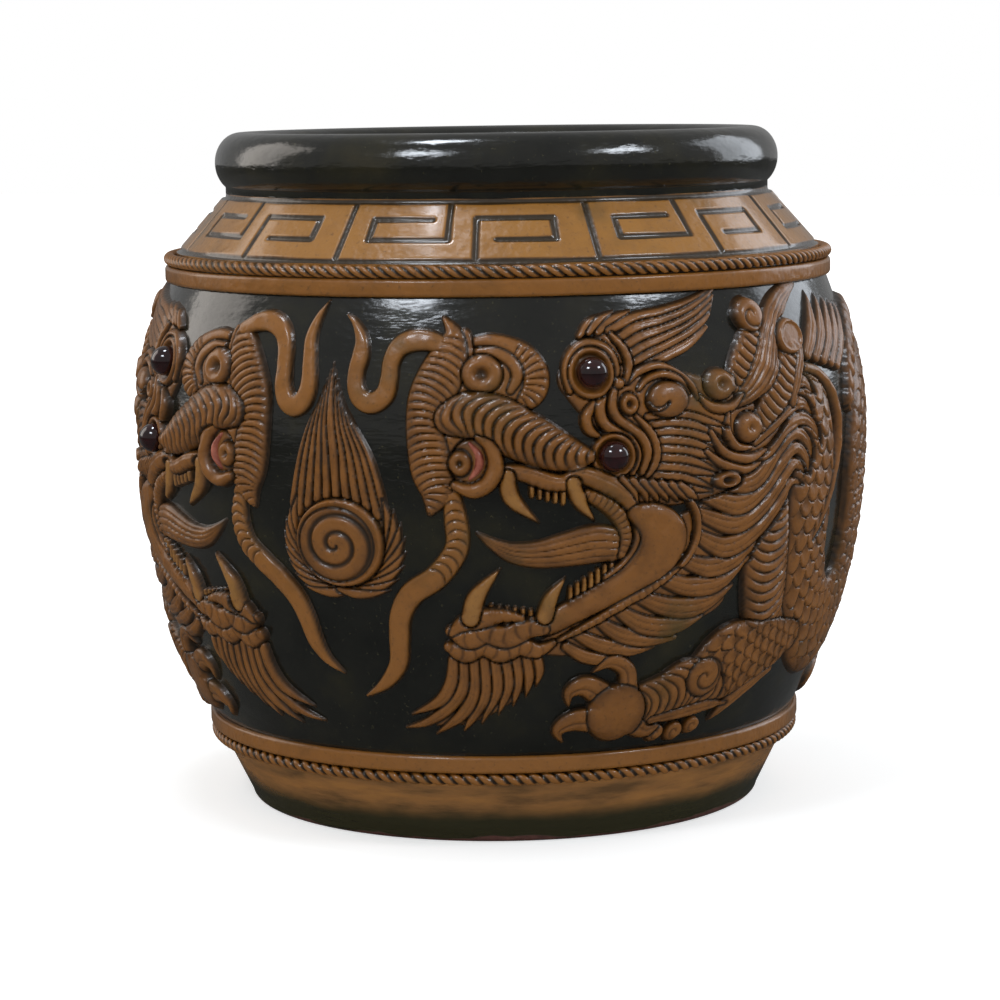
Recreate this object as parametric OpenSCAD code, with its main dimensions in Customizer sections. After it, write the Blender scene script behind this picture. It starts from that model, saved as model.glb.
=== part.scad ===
// Martaban storage jar in glazed stoneware: a thrown wall in sections, rope bands,
// a key fret on the shoulder and two applied dragons that face a flaming pearl.
// Millimetres, +Z up, origin at the middle of the underside, pearl on the -Y side.

/* [Wall] */
// Radius of the belly at its widest
belly_r = 281; // [276:1:288]
// Height of the widest line above the floor
belly_z = 290; // [280:1:300]
// Radius of the wall's arc below the widest line
low_arc_r = 508; // [480:1:640]
// Radius of the wall's arc above the widest line
high_arc_r = 325; // [310:1:420]
// Height where the belly wall starts, on top of the foot
wall_low_z = 72; // [68:1:74]
// Height where the belly wall ends, under the shoulder
wall_top_z = 410; // [406:1:416]
// Thickness of the thrown wall
wall_t = 14; // [10:0.5:18]

/* [Foot] */
// Radius of the foot where it stands
foot_r = 203; // [198:1:208]
// Rounding of the foot's lower edge
foot_edge = 5; // [3:0.5:9]
// Height of the sloping part of the foot
foot_slope_h = 50; // [44:1:54]
// How far the belly wall overhangs the top of the foot
foot_step = 7; // [5:0.5:9]
// Thickness of the clay floor
floor_t = 18; // [14:1:26]

/* [Shoulder] */
// Height of the upright lip that carries the upper bands
lip_h = 23; // [20:0.5:26]
// How far the belly wall stands out from the upright lip
lip_step = 5.5; // [4:0.5:8]
// Height of the sloping shoulder
slope_h = 45; // [40:1:52]
// Radius of the neck at the top of the shoulder
neck_r = 213; // [206:1:218]

/* [Rim] */
// How far the mouth lies in from the neck
throat_in = 32; // [28:1:38]
// Width of the rolled rim
rim_w = 40; // [36:1:46]
// Height of the rolled rim
rim_h = 47; // [40:1:54]

/* [Bands] */
// Width of the plain band under the upper rope
high_band_w = 9; // [7:0.5:11]
// Height of the plain band under the upper rope
high_band_h = 13; // [10:0.5:15]
// Width of the plain band over the lower rope
low_band_w = 10; // [8:0.5:12]
// Height of the plain band over the lower rope
low_band_h = 13; // [10:0.5:15]
// Thickness of both rope coils
rope_d = 9.5; // [8:0.5:11]
// How far the upper rope stands out from the band under it
rope_proud = 1; // [0:0.25:2]
// Corner rounding of the plain bands
band_round = 3; // [2:0.5:4]

/* [Key fret] */
// Number of fret repeats round the shoulder
fret_count = 8; // [6:1:10]
// Turn of the first divider from the pearl's line
fret_turn = -3; // [-20:1:20]
// Width of the incised line
line_w = 3; // [2:0.5:4]
// Depth of the incised line
line_depth = 1.6; // [1:0.2:2.4]
// Bare margin between the fret and the slope's edges
fret_margin = 5; // [4:0.5:7]

/* [Relief] */
// Columns of the relief's grid in a full turn
column_count = 176; // [175:1:190]
// Rows of the relief's grid on the belly wall
row_count = 34; // [34:1:37]
// Luting gap between the wall and what is applied to it
luting = 0.3; // [0.2:0.05:0.4]
// Height of the pearl
pearl_h = 10; // [7:0.5:14]
// Height of the pearl's flames
flame_h = 5; // [3:0.5:8]
// Height of the whiskers
whisker_h = 7; // [4:0.5:10]
// Height of the ribbed frill and leaf at the nose
frill_h = 8; // [5:0.5:11]
// Height of the snout
snout_h = 14; // [9:0.5:18]
// Height of the jaws and lips
jaw_h = 11; // [7:0.5:15]
// Height of the teeth and fangs
tooth_h = 8; // [5:0.5:11]
// Height of the tongue
tongue_h = 7; // [5:0.5:11]
// Radius of the upper eyeball
high_eye_r = 11.5; // [10:0.5:12.5]
// Radius of the lower eyeball
low_eye_r = 11; // [10:0.5:12.5]
// Thickness of the eyelid roll round an eyeball
lid_d = 8; // [6:0.5:10]
// Height of the brow tufts and the nape flames
tuft_h = 6; // [4:0.5:9]
// Height of the horn
horn_h = 9; // [6:0.5:12]
// Height of the knobs on the horn
knob_h = 10; // [7:0.5:12]
// Height of the mane's locks
mane_h = 7; // [5:0.5:10]
// Height of the beard's locks
beard_h = 6; // [4:0.5:9]
// Height of the scaled body
body_h = 10; // [7:0.5:14]
// Height of the fin along the back
fin_h = 8; // [5:0.5:11]
// Height of the legs
leg_h = 11; // [7:0.5:14]
// Height of the paws and claws
claw_h = 9; // [6:0.5:12]

/* [Hidden] */

amber = "#8a5a2c";
band_amber = "#a06a2e";
dark_glaze = "#23231d";
bare_clay = "#5a3a30";
eye_glaze = "#2a0a0c";

// Sides of a full turn, and steps of a profile's arc
turn_sides = 96;
arc_steps = 16;
// Rows of the relief's grid from the floor to the start of the belly wall
foot_row_count = 7;
// Share of an eyeball's radius by which its centre stands out from the wall
eye_lift = 0.5;
// Difference in depth and length that keeps crossing cuts off each other's faces
cut_play = 0.2;

neck_z = wall_top_z + lip_h + slope_h;
slope_z = wall_top_z + lip_h;
lip_r = wall_r(wall_top_z) - lip_step;
foot_top_r = wall_r(wall_low_z) - foot_step;
throat_r = neck_r - throat_in;
row_step = (wall_top_z - wall_low_z) / row_count;

// Outer radius of the belly wall at a height
function wall_r(z) =
    let (arc = z < belly_z ? low_arc_r : high_arc_r, rise = z - belly_z)
    belly_r - arc + sqrt(arc * arc - rise * rise);

// Radius of the sloping shoulder at a height
function slope_r(z) = lip_r + (neck_r - lip_r) * (z - slope_z) / slope_h;

// Profile of a wall between two heights: up the outside, down the inside
function wall_profile(z0, z1) = concat(
    [for (i = [0:arc_steps]) let (z = z0 + (z1 - z0) * i / arc_steps) [wall_r(z), z]],
    [for (i = [arc_steps:-1:0])
        let (z = z0 + (z1 - z0) * i / arc_steps) [wall_r(z) - wall_t, z]]
);

// Arc of points round a centre, with its own radius each way
function arc(centre, size, from, to) = [
    for (i = [0:arc_steps]) let (a = from + (to - from) * i / arc_steps)
        [centre[0] + size[0] * cos(a), centre[1] + size[1] * sin(a)]
];

module turned(points) {
    rotate_extrude($fn = turn_sides) polygon(points);
}

module coil(centre_r, z, d) {
    translate([0, 0, z]) rotate_extrude($fn = turn_sides)
        translate([centre_r, 0]) circle(d = d, $fn = 32);
}

// Ring with a flat back and rounded outer corners
module band(inner_r, w, z, h) {
    corner_r = inner_r + w - band_round;
    round = [band_round, band_round];
    turned(concat(
        [[inner_r, z]],
        arc([corner_r, z + band_round], round, -90, 0),
        arc([corner_r, z + h - band_round], round, 0, 90),
        [[inner_r, z + h]]
    ));
}

module floor_disc() {
    color(bare_clay) cylinder(r = foot_r - wall_t, h = floor_t, $fn = turn_sides);
}

module foot_wall() {
    color(amber) turned(concat(
        [[foot_r - wall_t, 0]],
        arc([foot_r - foot_edge, foot_edge], [foot_edge, foot_edge], -90, 0),
        [
            [foot_top_r, foot_slope_h],
            [foot_top_r, wall_low_z],
            [foot_top_r - wall_t, wall_low_z],
            [foot_top_r - wall_t, foot_slope_h],
            [foot_r - wall_t, floor_t]
        ]
    ));
}

module belly_lower_wall() {
    color(dark_glaze) turned(wall_profile(wall_low_z, belly_z));
}

module belly_upper_wall() {
    color(dark_glaze) turned(wall_profile(belly_z, wall_top_z));
}

module shoulder_wall() {
    color(band_amber) difference() {
        turned([
            [lip_r, wall_top_z],
            [lip_r, slope_z],
            [neck_r, neck_z],
            [throat_r, neck_z],
            [lip_r - wall_t, slope_z - wall_t],
            [lip_r - wall_t, wall_top_z]
        ]);
        key_fret();
    }
}

// Incised key fret: a divider, a hook from above and a hook from below in each repeat.
// Angles are shares of a repeat, heights are shares of the fret's height.
module key_fret() {
    step = 360 / fret_count;
    for (i = [0:fret_count - 1]) {
        start = fret_turn + i * step;
        fret_up(start, 0, 1);
        fret_up(start + 0.43 * step, 0.36, 1);
        fret_across(start + 0.11 * step, start + 0.43 * step, 0.36);
        fret_up(start + 0.11 * step, 0.36, 0.7);
        fret_across(start + 0.11 * step, start + 0.36 * step, 0.7);
        fret_up(start + 0.54 * step, 0, 0.72);
        fret_across(start + 0.54 * step, start + 0.85 * step, 0.72);
        fret_up(start + 0.85 * step, 0.36, 0.72);
        fret_across(start + 0.62 * step, start + 0.85 * step, 0.36);
    }
    fret_ring(0);
    fret_ring(1);
}

function fret_z(share) = slope_z + fret_margin + (slope_h - 2 * fret_margin) * share;
function fret_r(share) = slope_r(fret_z(share));
slope_angle = atan2(lip_r - neck_r, slope_h);

// Cut square to the slope, between two shares of the fret's height
module slope_cut(low, high, depth) {
    middle = (low + high) / 2;
    length = (fret_z(high) - fret_z(low)) / cos(slope_angle) + line_w;
    translate([fret_r(middle), fret_z(middle)]) rotate(slope_angle)
        square([2 * depth, length + (high > low ? 2 * cut_play : 0)], center = true);
}

module fret_up(a, low, high) {
    half_turn = line_w / 2 / fret_r((low + high) / 2) * 180 / PI;
    rotate(a - half_turn - 90) rotate_extrude(angle = 2 * half_turn, $fn = turn_sides)
        slope_cut(low, high, line_depth);
}

module fret_across(a0, a1, share) {
    rotate(a0 - 90) rotate_extrude(angle = a1 - a0, $fn = turn_sides)
        slope_cut(share, share, line_depth - cut_play);
}

module fret_ring(share) {
    rotate_extrude($fn = turn_sides) slope_cut(share, share, line_depth - cut_play);
}

module rim_roll() {
    half = [rim_w / 2, rim_h / 2];
    centre = [throat_r + half[0], neck_z + half[1]];
    seat_angle = -acos((neck_r - centre[0]) / half[0]);
    color(dark_glaze) turned(concat(
        [[throat_r, neck_z], [neck_r, neck_z]],
        arc(centre, half, seat_angle, 180)
    ));
}

module upper_plain_band() {
    color(band_amber) band(lip_r + luting, high_band_w, wall_top_z, high_band_h);
}

module upper_rope_band() {
    color(band_amber) coil(
        lip_r + luting + high_band_w - rope_d / 2 + rope_proud,
        wall_top_z + high_band_h + rope_d / 2 + luting,
        rope_d
    );
}

module lower_plain_band() {
    color(band_amber)
        band(foot_top_r + luting, low_band_w, wall_low_z - low_band_h, low_band_h);
}

module lower_rope_band() {
    color(amber) coil(
        foot_top_r + luting + rope_d / 2,
        wall_low_z - low_band_h - luting - rope_d / 2,
        rope_d
    );
}

// The relief is laid out on a grid that follows the belly wall: columns are counted
// round the wall from the pearl's line, rows are counted up from the floor.

// Height above the floor of a row of the grid
function row_z(row) = wall_low_z + (row - foot_row_count) * row_step;
// Turn round the jar of a column of the grid
function column_turn(column) = 360 * column / column_count;

// Point that stands off the wall by a distance
function on_wall(column, row, off) =
    let (z = row_z(row), a = column_turn(column), r = wall_r(z) + off)
    [r * sin(a), -r * cos(a), z];

// Smooth curve through the points of a line, a few steps to a span
function smooth(line, steps) = concat(
    [for (i = [0:len(line) - 2]) for (k = [0:steps - 1]) span_point(line, i, k / steps)],
    [line[len(line) - 1]]
);
function span_point(line, i, t) =
    let (
        a = line[max(i - 1, 0)],
        b = line[i],
        c = line[i + 1],
        d = line[min(i + 2, len(line) - 1)]
    )
    0.5 * (2 * b + (c - a) * t + (2 * a - 5 * b + 4 * c - d) * t * t
        + (3 * b - a - 3 * c + d) * t * t * t);

// Unit vector across a curve at one of its points
function across(curve, i) =
    let (
        ahead = curve[min(i + 1, len(curve) - 1)],
        behind = curve[max(i - 1, 0)],
        run = [ahead[0] - behind[0], ahead[1] - behind[1]]
    )
    [-run[1], run[0]] / norm(run);

// Section of a modelled strip, as shares of its half width and its height
function strip_section(sides) = concat(
    [[-1, 0]],
    [for (j = [0:sides]) let (x = 2 * j / sides - 1) [0.86 * x, 1 - 0.45 * x * x]],
    [[1, 0]],
    sides > 2 ? [for (j = [sides - 1:-1:1]) [2 * j / sides - 1, 0]] : []
);

// Clay strip applied along a line of [column, row, half width]. Ribs are made by
// lowering every second section to the share given as groove.
module strip(line, height, sides = 2, steps = 2, groove = 1) {
    curve = smooth(line, steps);
    section = strip_section(sides);
    n = len(section);
    last = len(curve) - 1;
    widest = max([for (p = line) p[2]]);
    points = [
        for (i = [0:last])
            let (
                p = curve[i],
                side = across(curve, i) * p[2],
                rib = i % 2 == 1 ? groove : 1,
                rise = height * rib * (0.45 + 0.55 * p[2] / widest)
            )
            for (s = section)
                on_wall(p[0] + side[0] * s[0], p[1] + side[1] * s[0], luting + rise * s[1])
    ];
    side_faces = [
        for (i = [0:last - 1]) for (j = [0:n - 1])
            let (a = i * n + j, b = i * n + (j + 1) % n)
            each [[a, b, a + n], [b, b + n, a + n]]
    ];
    caps = [
        for (j = [1:n - 2])
            each [[0, j + 1, j], [last * n, last * n + j, last * n + j + 1]]
    ];
    polyhedron(points, concat(side_faces, caps));
}

// Frame on the wall: X round the jar, Y up the wall, Z outwards
module on_wall_at(column, row) {
    z = row_z(row);
    lean = asin((z - belly_z) / (z < belly_z ? low_arc_r : high_arc_r));
    translate(on_wall(column, row, luting)) rotate(column_turn(column))
        rotate([90 - lean, 0, 0]) children();
}

// Round boss with a domed top and a flat back
module knob(column, row, r, height) {
    ball = (r * r + height * height) / (2 * height);
    on_wall_at(column, row) rotate_extrude($fn = 32) intersection() {
        translate([0, height - ball]) circle(r = ball, $fn = 64);
        square([r, height]);
    }
}

// Ring of round clay with a flat back
module curl_ring(column, row, r, d) {
    on_wall_at(column, row) rotate_extrude($fn = 32) intersection() {
        translate([r, 0]) circle(d = d, $fn = 24);
        translate([r - d / 2, 0]) square([d, d / 2]);
    }
}

// Glazed eyeball, cut flat where it is bedded on the wall
module eyeball(column, row, r) {
    on_wall_at(column, row) rotate_extrude($fn = 32) intersection() {
        translate([0, r * eye_lift]) circle(r = r, $fn = 48);
        square([r, 2 * r]);
    }
}

module left() {
    mirror([1, 0, 0]) children();
}

module pearl() {
    rings = 3;
    parts = 20;
    r = 3.3;
    centre = [0.4, 23.6];
    points = concat(
        [for (i = [0:rings - 1]) for (j = [0:parts - 1])
            let (share = 1 - 0.45 * i, a = 360 * j / parts)
            on_wall(centre[0] + r * share * cos(a), centre[1] + r * share * sin(a),
                luting + pearl_h * (i == 0 ? 0.45 : 0.6 + 0.2 * i))],
        [for (i = [0:rings - 1]) for (j = [0:parts - 1])
            let (share = 1 - 0.45 * i, a = 360 * j / parts)
            on_wall(centre[0] + r * share * cos(a), centre[1] + r * share * sin(a), luting)]
    );
    back = rings * parts;
    skin = [
        for (i = [0:rings - 2]) for (j = [0:parts - 1])
            let (a = i * parts + j, b = i * parts + (j + 1) % parts)
            each [
                [a, a + parts, b], [b, a + parts, b + parts],
                [back + a, back + b, back + a + parts],
                [back + b, back + b + parts, back + a + parts]
            ]
    ];
    inner = (rings - 1) * parts;
    middle = [
        for (j = [1:parts - 2])
            each [[inner, inner + j + 1, inner + j], [back + inner, back + inner + j, back + inner + j + 1]]
    ];
    edge = [
        for (j = [0:parts - 1])
            let (k = (j + 1) % parts)
            each [[j, k, back + j], [k, back + k, back + j]]
    ];
    color(amber) polyhedron(points, concat(skin, middle, edge));
}

module pearl_flames() {
    strands = 9;
    color(amber) {
        for (i = [0:strands - 1]) {
            s = 2 * i / (strands - 1) - 1;
            strip([
                [0.3 + 3.7 * s, 27.3 - 2.2 * s * s, 0.34],
                [0.1 + 2.9 * s, 30.2 - 0.6 * s * s, 0.32],
                [-0.1 + 1.8 * s, 32.8 - 0.8 * abs(s), 0.2],
                [-0.3 + 0.9 * s, 36 - 2.4 * abs(s), 0.08]
            ], flame_h, steps = 1);
        }
        strip([[-4, 23.6, 0.2], [-3.5, 21.2, 0.45], [-1.7, 19.8, 0.5], [0.6, 19.4, 0.55],
            [2.9, 19.9, 0.5], [4.4, 21.4, 0.45], [4.8, 23.6, 0.2]], flame_h);
        strip([[-4.3, 21.4, 0.3], [-5, 23.6, 0.3], [-4.8, 25.6, 0.08]], flame_h);
        strip([[-4.2, 24.6, 0.25], [-4.3, 26.4, 0.25], [-3.8, 27.8, 0.08]], flame_h);
        strip([[5, 21.4, 0.3], [5.6, 23.6, 0.3], [5.1, 25.4, 0.08]], flame_h);
        strip([[4.7, 24.6, 0.25], [4.7, 26.2, 0.25], [4.1, 27.6, 0.08]], flame_h);
    }
}

module right_whiskers() {
    color(band_amber) {
        strip([[7.6, 38.1, 0.65], [5.8, 38.2, 0.8], [4.3, 37.2, 0.7], [4.2, 35.2, 0.7],
            [3, 33.6, 0.7], [1.7, 34.9, 0.65], [1.9, 36.8, 0.6], [1.9, 38.6, 0.4],
            [0.6, 40, 0.12]], whisker_h);
        strip([[8.9, 26.2, 0.6], [9.4, 24.6, 0.75], [9.1, 22.6, 0.85], [7.2, 20.8, 0.85],
            [5.4, 19.7, 0.8], [4.5, 18, 0.75], [4.3, 15.6, 0.75], [3.7, 13.6, 0.65],
            [2.3, 12.4, 0.45], [0.9, 11.7, 0.12]], whisker_h);
    }
}

module left_whiskers() {
    color(band_amber) left() {
        strip([[6.6, 39.4, 0.6], [5, 38.4, 0.75], [4.8, 36.2, 0.75], [4.5, 34.2, 0.75],
            [3.4, 33, 0.7], [2.3, 34.4, 0.65], [2.2, 36.4, 0.6], [2.3, 38.4, 0.4],
            [1.5, 40.2, 0.12]], whisker_h);
        strip([[8.2, 26.4, 0.6], [8.7, 24.8, 0.75], [8.2, 22.8, 0.8], [6.7, 21, 0.8],
            [4.9, 19.7, 0.8], [3.5, 18.4, 0.75], [2.9, 16.6, 0.7], [2.5, 15, 0.55],
            [0.8, 13.4, 0.12]], whisker_h);
    }
}

module nose_frill() {
    color(amber) strip([[8.9, 39, 0.8], [7.9, 36.9, 1.1], [7.1, 35, 1.2], [6.9, 33, 1.25],
        [6.9, 31, 1.35], [7.2, 29, 1.35], [7.5, 27.4, 0.9], [7.2, 25.9, 0.25]],
        frill_h, sides = 2, steps = 6, groove = 0.7);
}

module nose_leaf() {
    color(amber) strip([[9.7, 37.6, 0.5], [11.2, 38.3, 0.65], [13, 37.7, 0.75],
        [14.5, 36.6, 0.85], [15, 35, 0.8], [14.2, 33.9, 0.5]],
        frill_h, steps = 6, groove = 0.7);
}

module nostrils() {
    color(amber) {
        curl_ring(10.8, 35.8, 0.7 * row_step, 0.6 * row_step);
        strip([[11.4, 37, 0.3], [12.4, 36.2, 0.35], [12.4, 34.9, 0.3]], snout_h * 0.7);
        curl_ring(9.4, 29.5, 0.48 * row_step, 0.4 * row_step);
        strip([[10.2, 30.9, 0.25], [10.7, 29.7, 0.4], [10.3, 28.5, 0.3]], snout_h * 0.6);
        strip([[11.2, 31, 0.3], [11.9, 29.6, 0.45], [11.5, 28.2, 0.5], [10.3, 27.4, 0.5],
            [9.1, 27.7, 0.3]], snout_h * 0.8);
    }
}

module snout() {
    color(amber) strip([[9, 32.5, 1.1], [10.6, 33, 1.45], [12.6, 32.4, 1.6],
        [14.6, 31.2, 1.6], [16.4, 30.3, 1.15], [18, 29.6, 0.7]],
        snout_h, sides = 3, steps = 5, groove = 0.84);
}

module upper_jaw() {
    color(amber) {
        strip([[12.7, 28.7, 0.35], [14.4, 28.2, 0.5], [16.3, 27.8, 0.5], [18.2, 27.7, 0.55],
            [19.9, 27, 0.6], [21.3, 26, 0.5]], jaw_h);
    }
}

module lower_jaw() {
    color(amber) {
        strip([[22.8, 26.6, 0.6], [23.9, 25.5, 1.6], [24.3, 23.8, 1.9], [23.9, 22.2, 1.6],
            [22.4, 20.9, 1.1], [20.4, 19.6, 0.85], [18.3, 18.6, 0.8], [16.3, 17.6, 0.75],
            [14.2, 17, 0.75], [12, 17.2, 0.8], [10, 17.2, 0.7], [8.5, 16.6, 0.45]], jaw_h,
            sides = 3);
        strip([[15, 15.7, 0.4], [12.8, 15.6, 0.6], [10.6, 15.7, 0.6], [8.7, 15.5, 0.5],
            [7.7, 15, 0.2]], jaw_h);
    }
}

module teeth() {
    tooth_r = 0.3 * row_step;
    color("#b8935c") {
        strip([[9.8, 18.4, 0.65], [10.3, 19.8, 0.55], [12, 21.6, 0.08]], tooth_h);
        strip([[15.3, 18.8, 0.5], [15.8, 19.7, 0.4], [16.7, 20.8, 0.08]], tooth_h);
        strip([[12.8, 27.9, 0.5], [13.1, 26.6, 0.5], [14.9, 25.1, 0.08]], tooth_h);
        strip([[17.3, 26.9, 0.5], [17.7, 26.2, 0.4], [18.8, 25.2, 0.08]], tooth_h);
        for (p = [[11.6, 18.5], [12.4, 18.6], [13.2, 18.5], [14, 18.3], [17.4, 19.9],
            [18.2, 20.3], [19, 20.7], [19.8, 21.1], [14.5, 27.2], [15.3, 26.9], [16.1, 26.7],
            [19.1, 26.4], [19.9, 26], [20.6, 25.3]])
            on_wall_at(p[0], p[1]) cylinder(r1 = tooth_r, r2 = tooth_r / 2,
                h = tooth_h * 0.7, $fn = 20);
    }
}

module tongue() {
    color(amber) strip([[20.8, 23.5, 0.9], [19, 23.4, 1.2], [17, 23.1, 1.1], [15, 22.8, 0.85],
        [13.2, 22.8, 0.65], [11.8, 23.3, 0.4], [10.4, 24.2, 0.12]], tongue_h, sides = 2);
}

module eyelids() {
    color(amber) {
        curl_ring(18.9, 35.5, high_eye_r + lid_d / 2 + luting, lid_d);
        curl_ring(20.3, 29.6, low_eye_r + lid_d / 2 + luting, lid_d);
        curl_ring(21, 33.1, 0.5 * row_step, 0.5 * row_step);
        strip([[17.6, 33.2, 0.3], [18.4, 32.4, 0.5], [18.3, 31.5, 0.3]], jaw_h);
        strip([[22.9, 30.8, 0.2], [23, 29.2, 0.35], [22.2, 27.8, 0.35], [20.6, 27.3, 0.2]],
            jaw_h * 0.8);
    }
}

module eyes() {
    color(eye_glaze) {
        eyeball(18.9, 35.5, high_eye_r);
        eyeball(20.3, 29.6, low_eye_r);
    }
}

module forehead() {
    color(amber) {
        strip([[22.8, 33.2, 0.9], [24.4, 33.6, 1.6], [26.2, 33.4, 0.9]], snout_h,
            sides = 3);
        strip([[22.2, 34.6, 0.25], [24.4, 35.7, 0.35], [26.8, 35.2, 0.35], [27.8, 34, 0.2]],
            jaw_h);
        curl_ring(29.4, 27.6, 0.55 * row_step, 0.5 * row_step);
    }
}

module brow_tufts() {
    color(amber) {
        strands = 6;
        for (i = [0:strands - 1]) {
            s = i / (strands - 1);
            strip([
                [19.4 + 2.2 * s, 38.9 - 3 * s, 0.28],
                [21.8 + 2.1 * s, 39.7 - 3.1 * s, 0.3],
                [25 + s, 40 - 2.7 * s, 0.26],
                [30.1 - 3.2 * s * s, 40.8 - 3 * s, 0.08]
            ], tuft_h, steps = 1);
        }
        for (i = [0:4])
            strip([
                [24 - 0.05 * i, 31.8 - 0.85 * i, 0.34],
                [26.2 - 0.2 * i, 31.7 - 0.88 * i, 0.36],
                [28.2 - 0.4 * i, 30.9 - 0.85 * i, 0.08]
            ], tuft_h);
    }
}

module horn() {
    color(amber) {
        strip([[29.2, 32.1, 0.4], [31.6, 33.1, 0.75], [33.7, 34.8, 0.85], [35.1, 37, 0.75],
            [36.3, 39, 0.6], [38.1, 40.1, 0.45], [40.2, 40.7, 0.2]], horn_h);
        strip([[31, 34.8, 0.4], [32.2, 36.2, 0.7], [33.4, 37.3, 0.4]], horn_h, steps = 5,
            groove = 0.7);
        strip([[33.6, 32.4, 0.4], [35.4, 33.6, 0.65], [36.9, 35.2, 0.4]], horn_h, steps = 5,
            groove = 0.7);
        knob(29.1, 34.6, 1.1 * row_step, knob_h);
        knob(31.2, 31, 1.05 * row_step, knob_h);
        knob(33.5, 39, 1.1 * row_step, knob_h);
        knob(37.3, 37, 1.3 * row_step, knob_h);
    }
}

// Locks that sweep back from the jaw, and the flames on the nape
module mane() {
    locks = [
        [[27.6, 26.3, 0.5], [30, 26.1, 0.7], [32.8, 27.3, 0.75], [35.2, 29.4, 0.6], [36.2, 31, 0.12]],
        [[27.7, 24.5, 0.5], [30.2, 24.3, 0.7], [32.6, 25.5, 0.75], [34.8, 27.6, 0.5], [35.8, 29, 0.12]],
        [[27.4, 22.8, 0.5], [29.8, 22.6, 0.65], [31.6, 23.4, 0.5], [32.2, 24.2, 0.12]],
        [[26.2, 21.2, 0.45], [28.6, 21, 0.6], [30.6, 21.6, 0.4], [31.6, 22.6, 0.12]],
        [[24.6, 19.8, 0.45], [27.4, 19.5, 0.6], [30, 20, 0.45], [31.4, 20.8, 0.12]],
        [[22.8, 18.7, 0.4], [25.6, 18, 0.6], [28.6, 18.2, 0.5], [30.8, 19.2, 0.12]],
        [[20.6, 17.7, 0.35], [23.6, 16.6, 0.55], [26.4, 16.5, 0.5], [28.8, 17, 0.12]],
        [[18.8, 16.6, 0.3], [21.4, 15.5, 0.5], [23.8, 15.3, 0.4], [25.4, 15.5, 0.12]],
        [[16.8, 15.9, 0.3], [18, 15.2, 0.32], [19.4, 15, 0.1]]
    ];
    color(amber) {
        for (lock = locks) strip(lock, mane_h, steps = 1);
        for (i = [0:4])
            strip([
                [39.6 + 1.3 * i, 36.2 - 0.3 * i, 0.4],
                [41.2 + 1.5 * i, 38 - 0.3 * i, 0.45],
                [42.2 + 1.8 * i, 40.2 - 0.3 * i, 0.1]
            ], tuft_h);
    }
}

module beard() {
    locks = [
        [[8.2, 14.3, 0.3], [7.8, 12.6, 0.36], [6.6, 11.2, 0.32], [4.8, 10.5, 0.1]],
        [[9, 14.3, 0.3], [8.6, 12.2, 0.36], [7.2, 10.4, 0.32], [4.4, 9.4, 0.1]],
        [[9.8, 14.3, 0.3], [9.5, 12, 0.36], [8.5, 10, 0.32], [6.6, 8.9, 0.1]],
        [[10.6, 14.3, 0.3], [10.4, 12, 0.36], [9.8, 10.3, 0.3], [8.6, 9.1, 0.1]],
        [[11.4, 14.3, 0.3], [11.3, 12.4, 0.36], [10.9, 10.8, 0.3], [10, 9.4, 0.1]],
        [[12.2, 14.4, 0.3], [12.2, 12.8, 0.34], [11.9, 11.4, 0.28], [11.2, 10.2, 0.1]],
        [[13, 14.5, 0.3], [13.1, 13.1, 0.32], [12.9, 12, 0.24], [12.3, 11, 0.1]],
        [[13.8, 14.6, 0.3], [14, 13.5, 0.3], [13.8, 12.4, 0.2], [13.4, 11.7, 0.1]],
        [[14.6, 14.7, 0.3], [14.8, 13.8, 0.26], [14.5, 12.9, 0.1]]
    ];
    color(amber) for (lock = locks) strip(lock, beard_h, steps = 1);
}

module neck_scutes() {
    color(amber) strip([[33.9, 25, 1], [33.9, 23, 1.5], [33.9, 21, 1.7], [34.2, 19, 1.75],
        [34.8, 17.2, 1.6]], body_h, sides = 3, steps = 5, groove = 0.8);
}

module body() {
    color(amber) strip([[38.1, 34, 0.9], [39.4, 32, 2.2], [39.8, 28.5, 2.6],
        [39.3, 24.5, 2.9], [39.1, 20.4, 3.1], [40.8, 16.3, 3.4], [44.6, 14.2, 3.7],
        [48.6, 16.4, 3.9], [50.3, 21.2, 4.1], [50.4, 26.6, 4], [52.2, 31, 3.9],
        [56.4, 33.4, 3.7], [60.4, 31, 3.5], [62.2, 26.4, 3.3], [63.8, 21.8, 3.1],
        [67.4, 18.6, 2.9], [71.8, 18.8, 2.6], [74.6, 22.2, 2.3], [76.6, 26, 1.9],
        [79.8, 28.2, 1.6], [82.8, 26.8, 1.2], [84, 24, 0.8]], body_h, sides = 5, steps = 2);
}

module back_fin() {
    color(amber) strip([[39.6, 35.4, 0.3], [42, 34, 0.5], [43.1, 31.4, 0.45], [43, 28.6, 0.3]],
        body_h, steps = 4);
    color(amber) strip([[46.8, 31.6, 0.4], [49.4, 35.2, 0.6], [53, 37.9, 0.65],
        [57, 38.3, 0.65], [61.2, 37, 0.6], [64.4, 34, 0.6], [66.4, 30.4, 0.55],
        [67.6, 26.2, 0.5], [69.6, 23, 0.4]], fin_h, steps = 6, groove = 0.6);
    color(amber) strip([[71.2, 24, 0.4], [72.4, 26.4, 0.5], [74.6, 29.4, 0.5],
        [78, 31, 0.5], [81.4, 30.6, 0.45], [84.2, 28.4, 0.3]], fin_h, steps = 6, groove = 0.6);
}

module foreleg() {
    color(amber) {
        strip([[35.9, 13.6, 1.3], [33.8, 14, 1.8], [31.4, 13.4, 1.9], [30, 12.6, 1.7]],
            leg_h, sides = 3);
        knob(28, 12, 1.4 * row_step, leg_h);
        strip([[25.8, 11.6, 1.2], [24.9, 11, 1.3], [24.2, 10.6, 1.2]], leg_h, sides = 3);
        curl_ring(30, 9.3, 0.7 * row_step, 0.6 * row_step);
    }
}

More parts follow.
